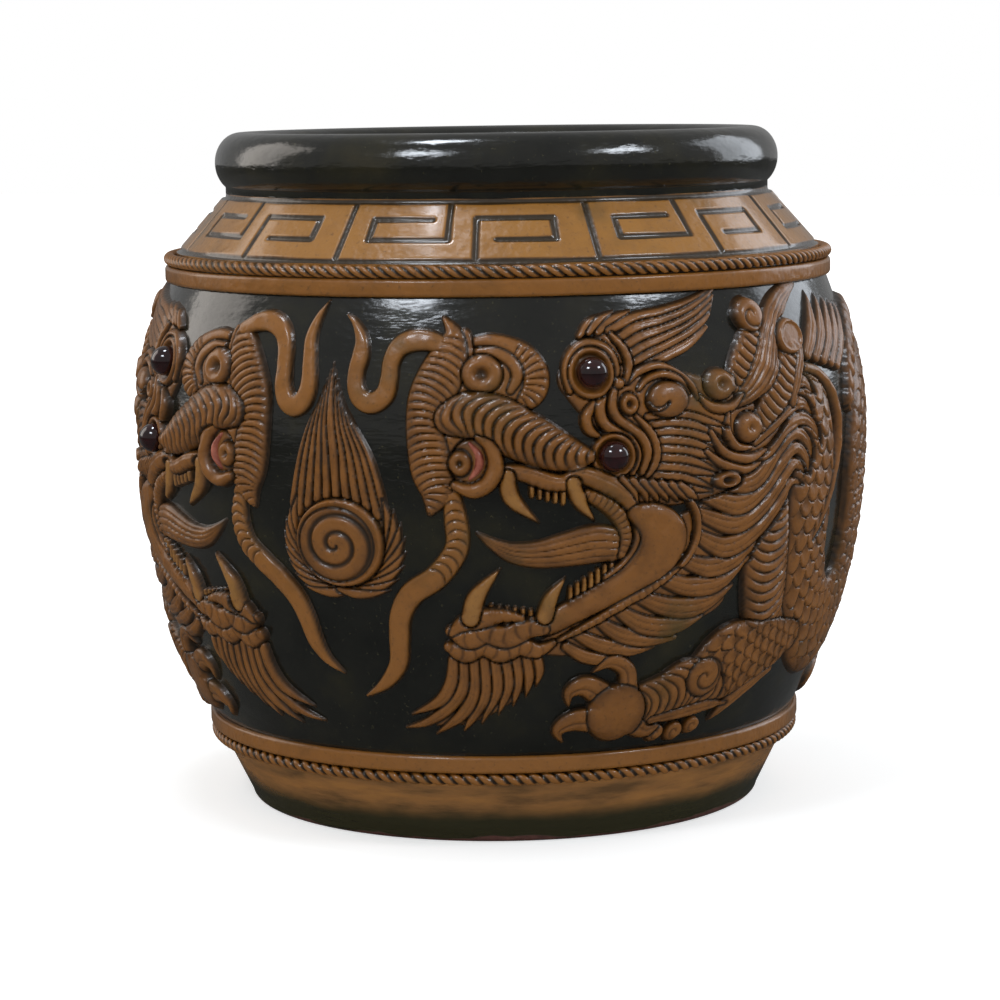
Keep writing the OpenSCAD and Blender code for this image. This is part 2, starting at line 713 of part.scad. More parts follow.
module hind_leg() {
    color(amber) {
        strip([[57, 28.2, 0.9], [56.9, 25.6, 1.7], [57, 22.4, 1.9], [57.4, 19.2, 1.6],
            [57.2, 17.4, 1.3]], leg_h, sides = 3);
        knob(57, 15.2, 1.2 * row_step, leg_h);
        strip([[57.3, 13.5, 0.9], [57.6, 12.6, 1], [57.7, 11.9, 0.9]], leg_h);
    }
}

// Paw boss with three of its fingers, each ending in a hooked claw
module paw(column, row) {
    fingers = [
        [[-1.7, 1.6, 0.6], [-2.8, 2.2, 0.55], [-4, 1.6, 0.35], [-3.6, 0.8, 0.1]],
        [[-2.3, -0.6, 0.6], [-3.6, -0.5, 0.6], [-4.7, -1.3, 0.4], [-3.9, -2, 0.1]],
        [[1.8, -1.4, 0.55], [3, -1.7, 0.4], [4, -1.4, 0.1]]
    ];
    knob(column, row, 1.7 * row_step, claw_h);
    for (finger = fingers)
        strip([for (p = finger) [column + p[0], row + p[1], p[2]]], claw_h, steps = 1);
}

// Fore paw, with a fourth finger that grips from above, and hind paw
module claws() {
    color(amber) {
        paw(21.4, 10.4);
        strip([[21.8, 12.8, 0.55], [21.9, 13.8, 0.5], [20.5, 14.2, 0.4], [19.4, 13.7, 0.1]],
            claw_h, steps = 1);
        paw(57.8, 9.8);
    }
}

module tail_tuft() {
    color(amber) for (i = [-2:2])
        strip([
            [84 + 0.62 * i, 22.6 - 0.2 * i * i, 0.28],
            [84.2 + 0.85 * i, 20.4 - 0.1 * i * i, 0.36],
            [84.6 + 0.9 * i, 18 + 0.2 * i * i, 0.1]
        ], tuft_h);
}

floor_disc();
foot_wall();
belly_lower_wall();
belly_upper_wall();
shoulder_wall();
rim_roll();
upper_plain_band();
upper_rope_band();
lower_plain_band();
lower_rope_band();
pearl();
pearl_flames();
right_whiskers();
nose_frill();  // right_nose_frill
nose_leaf();  // right_nose_leaf
nostrils();  // right_nostrils
snout();  // right_snout
upper_jaw();  // right_upper_jaw
lower_jaw();  // right_lower_jaw
teeth();  // right_teeth
tongue();  // right_tongue
eyelids();  // right_eyelids
eyes();  // right_eyes
forehead();  // right_forehead
brow_tufts();  // right_brow_tufts
horn();  // right_horn
mane();  // right_mane
beard();  // right_beard
neck_scutes();  // right_neck_scutes
body();  // right_body
back_fin();  // right_back_fin
foreleg();  // right_foreleg
hind_leg();  // right_hind_leg
claws();  // right_claws
tail_tuft();  // right_tail_tuft
left_whiskers();
left() nose_frill();  // left_nose_frill
left() nose_leaf();  // left_nose_leaf
left() nostrils();  // left_nostrils
left() snout();  // left_snout
left() upper_jaw();  // left_upper_jaw
left() lower_jaw();  // left_lower_jaw
left() teeth();  // left_teeth
left() tongue();  // left_tongue
left() eyelids();  // left_eyelids
left() eyes();  // left_eyes
left() forehead();  // left_forehead
left() brow_tufts();  // left_brow_tufts
left() horn();  // left_horn
left() mane();  // left_mane
left() beard();  // left_beard
left() neck_scutes();  // left_neck_scutes
left() body();  // left_body
left() back_fin();  // left_back_fin
left() foreleg();  // left_foreleg
left() hind_leg();  // left_hind_leg
left() claws();  // left_claws
left() tail_tuft();  // left_tail_tuft
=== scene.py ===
"""Martaban jar: glazed stoneware with a rolled rim, a key fret shoulder, rope bands
and two applied dragons that face a flaming pearl. Metres, +Z up, pearl on the -Y side."""

import math

import bpy
import numpy as np
from mathutils import Euler, Matrix, Vector

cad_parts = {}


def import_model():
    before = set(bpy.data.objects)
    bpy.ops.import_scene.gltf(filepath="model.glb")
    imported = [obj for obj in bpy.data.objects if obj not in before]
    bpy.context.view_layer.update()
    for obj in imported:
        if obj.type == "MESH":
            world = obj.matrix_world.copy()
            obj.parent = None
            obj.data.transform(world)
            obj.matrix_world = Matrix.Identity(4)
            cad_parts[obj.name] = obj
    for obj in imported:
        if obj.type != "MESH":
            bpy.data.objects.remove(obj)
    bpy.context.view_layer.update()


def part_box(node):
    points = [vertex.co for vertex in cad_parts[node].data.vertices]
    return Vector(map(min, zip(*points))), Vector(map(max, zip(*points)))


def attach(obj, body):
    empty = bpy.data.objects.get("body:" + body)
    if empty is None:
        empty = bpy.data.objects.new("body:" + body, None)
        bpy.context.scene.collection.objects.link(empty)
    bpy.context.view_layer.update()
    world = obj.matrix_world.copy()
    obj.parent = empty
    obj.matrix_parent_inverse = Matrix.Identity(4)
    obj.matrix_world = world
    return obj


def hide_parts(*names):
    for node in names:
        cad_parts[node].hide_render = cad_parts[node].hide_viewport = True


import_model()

MM = 0.001


def low(node):
    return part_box(node)[0]


def high(node):
    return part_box(node)[1]


# Sizes read from the frame
BELLY_R = high("belly_upper_wall").x
BELLY_Z = high("belly_lower_wall").z
WALL_LOW_Z = low("belly_lower_wall").z
WALL_TOP_Z = high("belly_upper_wall").z
LIP_R = high("shoulder_wall").x
NECK_Z = high("shoulder_wall").z
RIM_R = high("rim_roll").x
TOP_Z = high("rim_roll").z
FLOOR_T = high("floor_disc").z
FOOT_TOP_R = high("foot_wall").x
HIGH_BAND = (high("upper_plain_band").x, WALL_TOP_Z, high("upper_plain_band").z)
HIGH_ROPE = (high("upper_rope_band").x, low("upper_rope_band").z, high("upper_rope_band").z)
LOW_BAND = (high("lower_plain_band").x, low("lower_plain_band").z, WALL_LOW_Z)
LOW_ROPE = (high("lower_rope_band").x, low("lower_rope_band").z, high("lower_rope_band").z)

# Sizes repeated from the construction, which the frame's boxes don't show
LOW_ARC_R = 508 * MM
HIGH_ARC_R = 325 * MM
WALL_T = 14 * MM
FOOT_R = 203 * MM
FOOT_EDGE = 5 * MM
FOOT_SLOPE_H = 50 * MM
LIP_H = 23 * MM
NECK_R = 213 * MM
THROAT_R = 181 * MM
BAND_ROUND = 3 * MM
FRET_COUNT = 8
FRET_TURN = -3
FRET_MARGIN = 2 * MM
LINE_W = 3 * MM
LINE_DEPTH = 1.6 * MM

# The relief's grid: columns run round the wall from the pearl, rows run up from the floor
COLUMN_COUNT = 176
ROW_COUNT = 34
FOOT_ROW_COUNT = 7
ROW_H = (WALL_TOP_Z - WALL_LOW_Z) / ROW_COUNT
STEP = ROW_H / MM
# Spacing of the points along a stroke, in millimetres
FINE = 1.3
# How deep the clay's edge is sunk under the wall's face, in millimetres
SUNK = 0.8
# Depth and width of the line carved round a stroke, and the run-out of its side
GROOVE = 1.2
LINE = 0.95
FALL = 1.3

NO_TRIANGLES = np.zeros((0, 3), int)


def wall_r(z):
    """Outer radius of the belly wall at a height."""
    arc = np.where(z < BELLY_Z, LOW_ARC_R, HIGH_ARC_R)
    return BELLY_R - arc + np.sqrt(arc**2 - (z - BELLY_Z) ** 2)


def on_wall(column, row, off):
    """Points that stand off the wall, from places on the relief's grid."""
    z = WALL_LOW_Z + (np.asarray(row) - FOOT_ROW_COUNT) * ROW_H
    turn = np.asarray(column) * 2 * np.pi / COLUMN_COUNT
    r = wall_r(z) + off
    return np.stack([r * np.sin(turn), -r * np.cos(turn), z + 0 * r], axis=-1)


def wobble(column, row, seed=0.0):
    """Slow unevenness of clay worked by hand, from -1 to 1."""
    a = np.sin(0.9 * column + 1.7 * row + seed)
    b = np.sin(1.9 * column - 1.1 * row + 2.3 * seed)
    return (a + b) / 2


# Meshes


def part(points, quads, tris, tone):
    """A closed piece of surface as arrays, turned so that its faces point outwards."""
    a, b, c = (points[tris[:, i]] for i in range(3))
    volume = np.einsum("ij,ij->", a, np.cross(b, c))
    for i in (1, 2):
        a, b, c = (points[quads[:, k]] for k in (0, i, i + 1))
        volume += np.einsum("ij,ij->", a, np.cross(b, c))
    if volume < 0:
        quads, tris = quads[:, ::-1], tris[:, ::-1]
    return points, quads, tris, tone


def joined(parts):
    """Several parts as one."""
    start = np.cumsum([0] + [len(p[0]) for p in parts[:-1]])
    return (
        np.vstack([p[0] for p in parts]),
        np.vstack([p[1] + s for p, s in zip(parts, start)]),
        np.vstack([p[2] + s for p, s in zip(parts, start)]),
        np.concatenate([p[3] for p in parts]),
    )


def mirrored(parts):
    """The same parts on the other side of the pearl."""
    return [part(p * (-1, 1, 1), quads, tris, tone) for p, quads, tris, tone in parts]


def mesh_object(name, parts, material, sharp=None):
    """One object made of parts, smooth all over or split at a sharp angle."""
    points, quads, tris, tone = joined(parts)
    mesh = bpy.data.meshes.new(name)
    mesh.from_pydata(points.tolist(), [], quads.tolist() + tris.tolist())
    mesh.attributes.new("tone", "FLOAT", "POINT").data.foreach_set("value", tone)
    mesh.shade_smooth()
    if sharp:
        mesh.set_sharp_from_angle(angle=math.radians(sharp))
    mesh.materials.append(material)
    thing = bpy.data.objects.new(name, mesh)
    bpy.context.scene.collection.objects.link(thing)
    return thing


def place(thing, slot, *nodes):
    """Rides a finished piece on the jar in place of its construction nodes."""
    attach(thing, "root")
    if nodes:
        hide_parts(*nodes)
    return thing


def loop_quads(rows, columns, close_rows=False):
    """Quads of a grid whose columns close into a loop."""
    i, j = np.meshgrid(np.arange(rows - (not close_rows)), np.arange(columns), indexing="ij")
    k, m = (i + 1) % rows, (j + 1) % columns
    quads = [i * columns + j, i * columns + m, k * columns + m, k * columns + j]
    return np.stack(quads, axis=-1).reshape(-1, 4)


def fan(centre, ring):
    """Triangles from a centre point to the points of a closed ring."""
    return np.stack([np.full(len(ring), centre), ring, np.roll(ring, -1)], axis=-1)


# Carving, as the depth cut at a run along a stroke and a share of its half width, both
# widths and depths in millimetres


def ribs(pitch, depth, bow=0.0, sharp=4.0, upto=1.0, since=-1.0):
    """Cross cuts at a pitch, bowed along the stroke, between two shares of its length."""

    def cut(run, t, half):
        wave = 0.5 + 0.5 * np.cos(2 * np.pi * (run - bow * half * t * t) / pitch)
        return depth * wave**sharp * (run <= upto * run.max()) * (run >= since * run.max())

    return cut


def lines(places, depth, width=1.0):
    """Cuts that run along the stroke at shares of its half width."""

    def cut(run, t, half):
        return depth * sum(np.exp(-(((t - p) * half / width) ** 2)) for p in places)

    return cut


def scales(long, wide, depth=2.4):
    """Rows of overlapping scales whose free ends point along the stroke."""

    def cut(run, t, half):
        x, s = t * half / wide, run / long
        gap = np.full(s.shape, -1.0)
        for back in (-1, 0, 1):
            row = np.floor(s) + back
            across = x + 0.5 * (row % 2)
            across -= np.round(across)
            free_end = row + 1.2 * np.sqrt(1 - 3.6 * across**2)
            gap = np.where((gap < 0) & (free_end > s), free_end - s, gap)
        edge = np.exp(-((gap * long / 1.5) ** 2))
        return depth * edge + 1.3 * np.clip(gap / 1.3, 0, 1) ** 1.5

    return cut


def plain_dome(rho, angle):
    return np.sqrt(np.clip(1 - rho**2.6, 0, 1)), 0 * rho


def ring(middle, width, floor=0.0):
    """A ring of clay round a hole, as shares of the radius and the height."""

    def shape(rho, angle):
        hill = np.exp(-(((rho - middle) / width) ** 2))
        return np.maximum(hill, floor), 1.4 * np.exp(-((rho / (0.55 * middle)) ** 4)) * (floor == 0)

    return shape


def spiral(turns, depth, way=1, width=0.05):
    """A dome with a spiral cut that winds out from its middle."""

    def shape(rho, angle):
        phase = rho * turns - way * angle / (2 * np.pi)
        near = np.abs(phase - np.round(phase)) / turns
        return np.sqrt(np.clip(1 - rho**4, 0, 1)), depth * np.exp(-((near / width) ** 2))

    return shape


# Modelled clay


def curve(line):
    """Evenly spaced points on the smooth curve through a line, and the run to each."""
    p = np.array(line, float)
    ends = np.vstack([p[0], p, p[-1]])
    t = np.linspace(0, 1, 24, endpoint=False)[:, None]
    spans = []
    for i in range(len(p) - 1):
        a, b, c, d = ends[i : i + 4]
        bend = (2 * a - 5 * b + 4 * c - d) * t**2 + (3 * b - a - 3 * c + d) * t**3
        spans.append(0.5 * (2 * b + (c - a) * t + bend))
    dense = np.vstack(spans + [p[-1:]])
    steps = np.linalg.norm(np.diff(dense[:, :2], axis=0), axis=1)
    run = np.concatenate([[0], np.cumsum(steps)]) * STEP
    even = np.linspace(0, run[-1], max(8, int(run[-1] / FINE)))
    return np.stack([np.interp(even, run, dense[:, k]) for k in range(3)], axis=1), even


def along(points):
    """Unit vectors along and across a curve on the grid."""
    ahead = np.gradient(points[:, :2], axis=0)
    ahead /= np.linalg.norm(ahead, axis=1)[:, None]
    return ahead, np.stack([-ahead[:, 1], ahead[:, 0]], axis=1)


class Relief:
    """Heights of modelled clay over a grid of columns and rows, in millimetres off the
    wall, with the shade of the glaze and the piece at each point. A later stroke lies
    over the earlier ones, and a carved line goes round each."""

    def __init__(self, columns, rows):
        self.columns, self.rows = columns, rows
        self.height = np.full((len(columns), len(rows)), -SUNK)
        self.tone = np.zeros_like(self.height)
        self.owner = np.zeros(self.height.shape, int)
        self.names = []
        self.current = 0

    def piece(self, name):
        """Names the piece that the next strokes belong to."""
        if name not in self.names:
            self.names.append(name)
        self.current = self.names.index(name)

    def window(self, c0, c1, r0, r1):
        """Where the grid lies between two columns and two rows, with its points."""
        i, j = np.searchsorted(self.columns, (c0, c1)), np.searchsorted(self.rows, (r0, r1))
        spot = (slice(*i), slice(*j))
        return spot, self.columns[spot[0], None], self.rows[None, spot[1]]

    def lay(self, spot, edge, size, share, crest, foot, cut):
        """Lays clay where edge, the distance outside its outline, is negative. share is
        the dome's share of the height over what lies there, cut the carved depth."""
        old = self.height[spot]
        base = np.clip(old, foot, max(foot, crest - 2))
        groove = GROOVE * np.exp(-((edge / LINE) ** 2))
        top = base + np.maximum(crest * size - base, 0.3) * share - cut
        slope = foot - (foot + SUNK) * np.clip(edge / FALL, 0, 1)
        inside = edge < 0
        mine = inside | ((slope > old) & (edge < FALL))
        height = np.where(inside, top, np.maximum(old, slope)) - groove
        line = np.clip((np.abs(edge) - 0.2) / LINE, 0, 1)
        shade = (0.35 + 0.65 * share) * np.clip(1.2 - cut / 2.1, 0.15, 1)
        self.tone[spot] = np.where(mine, shade, self.tone[spot]) * line
        self.height[spot] = np.where(edge < 9, np.maximum(height, -SUNK), old)
        self.owner[spot] = np.where(mine, self.current, self.owner[spot])

    def stroke(self, line, crest, carve=None, foot=2.0, soft=5.0, lobes=None):
        """Clay strip along a line of column, row and half width. soft is how far its
        edges are rounded, lobes the pitch and share of a scalloped left edge."""
        points, run = curve(line)
        ahead, side = along(points)
        half = points[:, 2].copy()
        widest = half.max()
        if lobes:
            pitch, share = lobes
            less = half * share * (1 - np.abs(np.sin(np.pi * run / pitch)))
            points[:, :2] -= side * less[:, None] / 2
            half -= less / 2
        reach = widest + 0.3
        low_c, low_r = points[:, :2].min(axis=0) - reach
        high_c, high_r = points[:, :2].max(axis=0) + reach
        spot, columns, rows = self.window(low_c, high_c, low_r, high_r)
        shape = (columns.shape[0], rows.shape[1])
        best, found = np.full(shape, 1.0), np.zeros(shape, int)
        for k in range(0, len(points), 8):
            some = points[k : k + 9]
            i0, i1 = np.searchsorted(columns[:, 0], (some[:, 0].min() - reach, some[:, 0].max() + reach))
            j0, j1 = np.searchsorted(rows[0], (some[:, 1].min() - reach, some[:, 1].max() + reach))
            box = (slice(i0, i1), slice(j0, j1))
            gap = np.hypot(
                columns[i0:i1, :, None] - some[:, 0], rows[:, j0:j1].T[None] - some[:, 1]
            ) - half[k : k + 9]
            nearest = gap.argmin(axis=-1)
            gap = gap.min(axis=-1)
            closer = gap < best[box]
            best[box] = np.where(closer, gap, best[box])
            found[box] = np.where(closer, nearest + k, found[box])
        from_c, from_r = columns - points[found, 0], rows - points[found, 1]
        width = np.maximum(half[found], 0.05)
        t = np.clip((from_c * side[found, 0] + from_r * side[found, 1]) / width, -1.2, 1.2)
        s = run[found] + (from_c * ahead[found, 0] + from_r * ahead[found, 1]) * STEP
        edge = np.where(best < 1, best * STEP, 10)
        width = width * STEP
        near = np.clip(-edge / np.minimum(width, soft), 0, 1)
        share = 0.7 * np.sqrt(1 - (1 - near) ** 2) + 0.3 * np.clip(1 - t * t, 0, 1)
        share *= 1 + 0.06 * wobble(2 * columns, 2 * rows, crest)
        size = 0.5 + 0.5 * half[found] / widest
        cut = carve(s, t, width) * near**0.5 if carve else 0 * edge
        self.lay(spot, edge, size, share, crest, foot, cut)

    def boss(self, column, row, across, up, crest, shape=plain_dome, foot=2.0):
        """Round boss with radii across and up. shape gives the share of the height and
        the depth cut at a share of the radius and an angle."""
        reach = max(across, up) + 0.3
        spot, columns, rows = self.window(column - reach, column + reach, row - reach, row + reach)
        x, y = (columns - column) / across, (rows - row) / up
        rho = np.hypot(x, y)
        share, cut = shape(rho, np.arctan2(y, x))
        edge = (rho - 1) * min(across, up) * STEP
        near = np.clip(-edge / 2, 0, 1)
        self.lay(spot, edge, 1.0, share * near**0.5, crest, foot, cut * near)

    def parts(self):
        """One closed part for each piece, with its back bedded in the wall."""
        rows = len(self.rows)
        numbers = np.arange(self.height.size).reshape(self.height.shape)
        corners = [(slice(None, -1), slice(None, -1)), (slice(1, None), slice(None, -1)),
                   (slice(1, None), slice(1, None)), (slice(None, -1), slice(1, None))]
        heights = np.stack([self.height[c] for c in corners], axis=-1)
        owners = np.stack([self.owner[c] for c in corners], axis=-1)
        quads = np.stack([numbers[c] for c in corners], axis=-1)
        shown = heights.max(axis=-1) > 0.05 - SUNK
        owner = np.take_along_axis(owners, heights.argmax(axis=-1)[..., None], -1)[..., 0]
        found = {}
        for number, name in enumerate(self.names):
            top = quads[shown & (owner == number)]
            if not len(top):
                continue
            used, local = np.unique(top, return_inverse=True)
            top = local.reshape(top.shape)
            count = len(used)
            edges = np.stack([top, np.roll(top, -1, axis=1)], axis=-1).reshape(-1, 2)
            free = ~np.isin(edges[:, 0] * count + edges[:, 1], edges[:, 1] * count + edges[:, 0])
            a, b = edges[free].T
            skirt = np.stack([b, a, a + count, b + count], axis=-1)
            columns, height = self.columns[used // rows], self.rows[used % rows]
            front = on_wall(columns, height, self.height.ravel()[used] * MM)
            back = on_wall(columns, height, np.full(count, -2 * SUNK * MM))
            tone = np.concatenate([self.tone.ravel()[used], np.zeros(count)])
            whole = np.vstack([top, top[:, ::-1] + count, skirt])
            found[name] = part(np.vstack([front, back]), whole, NO_TRIANGLES, tone)
        return found


def eyeball(column, row, r, out):
    """Glass ball bedded in the wall, its centre standing out by a share of its radius."""
    parts, rings = 40, 26
    centre = on_wall([column], [row], np.array([r * out]))[0]
    step = 0.01
    east = on_wall([column + step], [row], np.array([0.0]))[0] - on_wall([column], [row], np.array([0.0]))[0]
    north = on_wall([column], [row + step], np.array([0.0]))[0] - on_wall([column], [row], np.array([0.0]))[0]
    east, north = east / np.linalg.norm(east), north / np.linalg.norm(north)
    out_way = np.cross(east, north)
    lean = np.linspace(0, np.radians(125), rings + 1)[1:, None]
    angle = np.linspace(0, 2 * np.pi, parts, endpoint=False)[None, :]
    ball = (
        np.sin(lean)[..., None] * np.cos(angle)[..., None] * east
        + np.sin(lean)[..., None] * np.sin(angle)[..., None] * north
        + (np.cos(lean) + 0 * angle)[..., None] * out_way
    )
    verts = np.vstack([
        (centre + r * ball).reshape(-1, 3),
        [centre + r * out_way],
        [centre - r * 0.6 * out_way],
    ])
    top = fan(rings * parts, np.arange(parts)[::-1])
    back = fan(rings * parts + 1, np.arange((rings - 1) * parts, rings * parts))
    tone = np.ones(len(verts))
    return part(verts, loop_quads(rings, parts), np.vstack([top, back]), tone)


def turned(profile, tone=None, segments=360):
    """Closed profile of radius and height turned round the jar's axis. tone gives a
    shade for each profile point."""
    profile = np.array(profile, float)
    turn = np.linspace(0, 2 * np.pi, segments, endpoint=False)[:, None]
    r, z = profile[None, :, 0], profile[None, :, 1]
    verts = np.stack([r * np.sin(turn), -r * np.cos(turn), z + 0 * turn], axis=-1)
    shade = np.ones(verts.shape[:2]) if tone is None else np.array(tone)[None, :] + 0 * turn
    quads = loop_quads(segments, len(profile), close_rows=True)
    return part(verts.reshape(-1, 3), quads, NO_TRIANGLES, shade.ravel())


def arc(centre, size, start, stop, steps=10):
    a = np.radians(np.linspace(start, stop, steps + 1))
    return [(centre[0] + size[0] * c, centre[1] + size[1] * s) for c, s in zip(np.cos(a), np.sin(a))]


def stretch(a, b, step=2.5 * MM):
    """Points on the straight from one profile point to the next, without the last."""
    count = max(1, round(math.dist(a, b) / step))
    return [(a[0] + (b[0] - a[0]) * i / count, a[1] + (b[1] - a[1]) * i / count) for i in range(count)]


# Materials


def linear(code):
    """Linear colour of an sRGB hex code."""
    values = [int(code[i : i + 2], 16) / 255 for i in (1, 3, 5)]
    return tuple(v / 12.92 if v <= 0.04045 else ((v + 0.055) / 1.055) ** 2.4 for v in values) + (1.0,)


def add(tree, kind, settings=None, **sockets):
    """Adds a node with its settings. A socket is named with underscores for spaces, or
    in_ and its number, and takes a value or another node's output."""
    node = tree.nodes.new(kind)
    for key, value in (settings or {}).items():
        setattr(node, key, value)
    for key, value in sockets.items():
        socket = node.inputs[int(key[3:]) if key[:3] == "in_" else key.replace("_", " ")]
        if isinstance(value, bpy.types.NodeSocket):
            tree.links.new(value, socket)
        else:
            socket.default_value = value
    return node


def new_material(name):
    material = bpy.data.materials.new(name)
    material.use_nodes = True
    material.node_tree.nodes.clear()
    return material, material.node_tree


def ramp(tree, fac, stops):
    """Colour ramp between hex codes at places from 0 to 1."""
    node = add(tree, "ShaderNodeValToRGB", in_0=fac)
    elements = node.color_ramp.elements
    while len(elements) < len(stops):
        elements.new(0.5)
    for element, (place_at, code) in zip(elements, stops):
        element.position = place_at
        element.color = linear(code)
    return node.outputs[0]


def mixed(tree, fac, a, b, blend="MIX"):
    """Mix of two colours, each a node's output or a hex code."""
    node = add(tree, "ShaderNodeMix", {"data_type": "RGBA", "blend_type": blend}, in_0=fac)
    for socket, value in ((node.inputs[6], a), (node.inputs[7], b)):
        if isinstance(value, str):
            socket.default_value = linear(value)
        else:
            tree.links.new(value, socket)
    return node.outputs[2]


def noise(tree, place_at, size, detail=4.0, rough=0.55):
    """Noise whose blotches are about a size in millimetres."""
    node = add(tree, "ShaderNodeTexNoise", Vector=place_at, Scale=1 / (size * MM), Detail=detail,
               Roughness=rough)
    return node.outputs[0]


def shares(tree, value, start, stop):
    """0 to 1 as a value goes from start to stop, held at the ends."""
    node = add(tree, "ShaderNodeMapRange", {"interpolation_type": "SMOOTHSTEP"}, in_0=value,
               in_1=start, in_2=stop)
    return node.outputs[0]


def finish(tree, colour, roughness, peel, waves=None, coat=0.5):
    """Glaze over clay: a glossy body under a clear coat. peel gives the strength and
    size of its orange peel, waves a slower unevenness under it."""
    place_at = add(tree, "ShaderNodeTexCoord").outputs["Object"]
    strength, size = peel
    bump = add(tree, "ShaderNodeBump", Strength=strength, Distance=0.5 * MM,
               Height=noise(tree, place_at, size, 3.0))
    if waves is not None:
        bump = add(tree, "ShaderNodeBump", Strength=1.0, Distance=1.6 * MM, Height=waves,
                   Normal=bump.outputs[0])
    shader = add(tree, "ShaderNodeBsdfPrincipled", Base_Color=colour, Roughness=roughness,
                 IOR=1.48, Coat_Weight=coat, Coat_Roughness=0.12, Normal=bump.outputs[0])
    add(tree, "ShaderNodeOutputMaterial", Surface=shader.outputs[0])


def amber_glaze(name, hollow, shade, body, crest, mottle=24, coat=0.35):
    """Iron amber glaze, dipped and fired: it runs thin and pale on the crests of the
    relief and pools almost black in the cuts, with cloudy patches a thumb wide."""
    material, tree = new_material(name)
    place_at = add(tree, "ShaderNodeTexCoord").outputs["Object"]
    cloud = noise(tree, place_at, mottle, 5.0, 0.65)
    grain = noise(tree, place_at, 3.5, 3.0, 0.7)
    tone = add(tree, "ShaderNodeAttribute", {"attribute_name": "tone"}).outputs["Fac"]
    uneven = add(tree, "ShaderNodeMath", {"operation": "MULTIPLY_ADD"}, in_0=cloud, in_1=0.9,
                 in_2=-0.45)
    thin = add(tree, "ShaderNodeMath", {"operation": "ADD"}, in_0=tone, in_1=uneven.outputs[0])
    colour = ramp(tree, thin.outputs[0], [(0.08, hollow), (0.38, shade), (0.68, body), (1, crest)])
    colour = mixed(tree, shares(tree, grain, 0.55, 0.85), colour, shade)
    colour = mixed(tree, shares(tree, noise(tree, place_at, 60, 3.0), 0.56, 0.92), colour, "#4c3e1a")
    colour = mixed(tree, shares(tree, tone, 0, 0.2), hollow, colour)
    rough = add(tree, "ShaderNodeMapRange", in_0=grain, in_3=0.28, in_4=0.5).outputs[0]
    finish(tree, colour, rough, (0.5, 4), noise(tree, place_at, 14, 2.0), coat)
    return material


def ground_glaze():
    """Green-black iron glaze over the thrown wall: glassy, a touch olive and brown where
    it runs thin, with the slow waves that throwing leaves."""
    material, tree = new_material("green black glaze")
    place_at = add(tree, "ShaderNodeTexCoord").outputs["Object"]
    cloud = noise(tree, place_at, 60, 5.0, 0.6)
    colour = ramp(tree, cloud, [(0.3, "#0f100c"), (0.5, "#181813"), (0.64, "#222014"), (0.78, "#2e2918")])
    speck = noise(tree, place_at, 2.5, 2.0)
    colour = mixed(tree, shares(tree, speck, 0.68, 0.74), colour, "#3a3724")
    stretched = add(tree, "ShaderNodeMapping", Vector=place_at, Scale=(1, 1, 3)).outputs[0]
    finish(tree, colour, 0.18, (0.35, 6), noise(tree, stretched, 40, 3.0, 0.6), 0.7)
    return material


def foot_glaze():
    """Amber glaze that stops short of the ground: it ends in a green-black roll over a
    dry rim of red-brown stoneware, along an uneven line. The inside is green-black."""
    material, tree = new_material("foot glaze over bare stoneware")
    place_at = add(tree, "ShaderNodeTexCoord").outputs["Object"]
    height = add(tree, "ShaderNodeSeparateXYZ", in_0=place_at).outputs[2]
    edge = noise(tree, place_at, 70, 3.0)
    uneven = add(tree, "ShaderNodeMath", {"operation": "MULTIPLY_ADD"}, in_0=edge, in_1=-14 * MM,
                 in_2=height).outputs[0]
    stretched = add(tree, "ShaderNodeMapping", Vector=place_at, Scale=(1, 1, 5)).outputs[0]
    streak = noise(tree, stretched, 55, 5.0, 0.6)
    glaze = ramp(tree, streak, [(0.32, "#694c2d"), (0.48, "#8d6338"), (0.66, "#a3713c")])
    glaze = mixed(tree, shares(tree, uneven, 8 * MM, 24 * MM), "#35321f", glaze)
    clay = ramp(tree, noise(tree, place_at, 9, 5.0, 0.7), [(0.3, "#4a2c26"), (0.7, "#6b4238")])
    outside = add(tree, "ShaderNodeAttribute", {"attribute_name": "tone"}).outputs["Fac"]
    glaze = mixed(tree, outside, "#1a1a14", glaze)
    bare = shares(tree, uneven, -5 * MM, -3.5 * MM)
    colour = mixed(tree, bare, clay, glaze)
    rough = add(tree, "ShaderNodeMapRange", in_0=bare, in_3=0.85, in_4=0.26).outputs[0]
    finish(tree, colour, rough, (0.4, 6), streak, 0.0)
    return material


def bare_clay():
    """Unglazed stoneware, fired red-brown: dry and finely gritty."""
    material, tree = new_material("bare stoneware")
    place_at = add(tree, "ShaderNodeTexCoord").outputs["Object"]
    grit = noise(tree, place_at, 2, 6.0, 0.7)
    colour = ramp(tree, grit, [(0.3, "#4a2c26"), (0.7, "#6b4238")])
    finish(tree, colour, 0.9, (0.7, 1.5), coat=0.0)
    return material


def eye_glass():
    """Dark red glass ball, polished, with a near-black heart."""
    material, tree = new_material("dark red glass")
    place_at = add(tree, "ShaderNodeTexCoord").outputs["Object"]
    cloud = noise(tree, place_at, 12, 3.0)
    colour = ramp(tree, cloud, [(0.35, "#120506"), (0.65, "#2a0a0c")])
    finish(tree, colour, 0.05, (0.02, 8), coat=1.0)
    return material


def iron_red():
    """Red iron wash brushed inside the lower nostril."""
    material, tree = new_material("iron red wash")
    place_at = add(tree, "ShaderNodeTexCoord").outputs["Object"]
    cloud = noise(tree, place_at, 8, 4.0)
    colour = ramp(tree, cloud, [(0.35, "#7a3a2c"), (0.65, "#ac6450")])
    finish(tree, colour, 0.25, (0.3, 4))
    return material


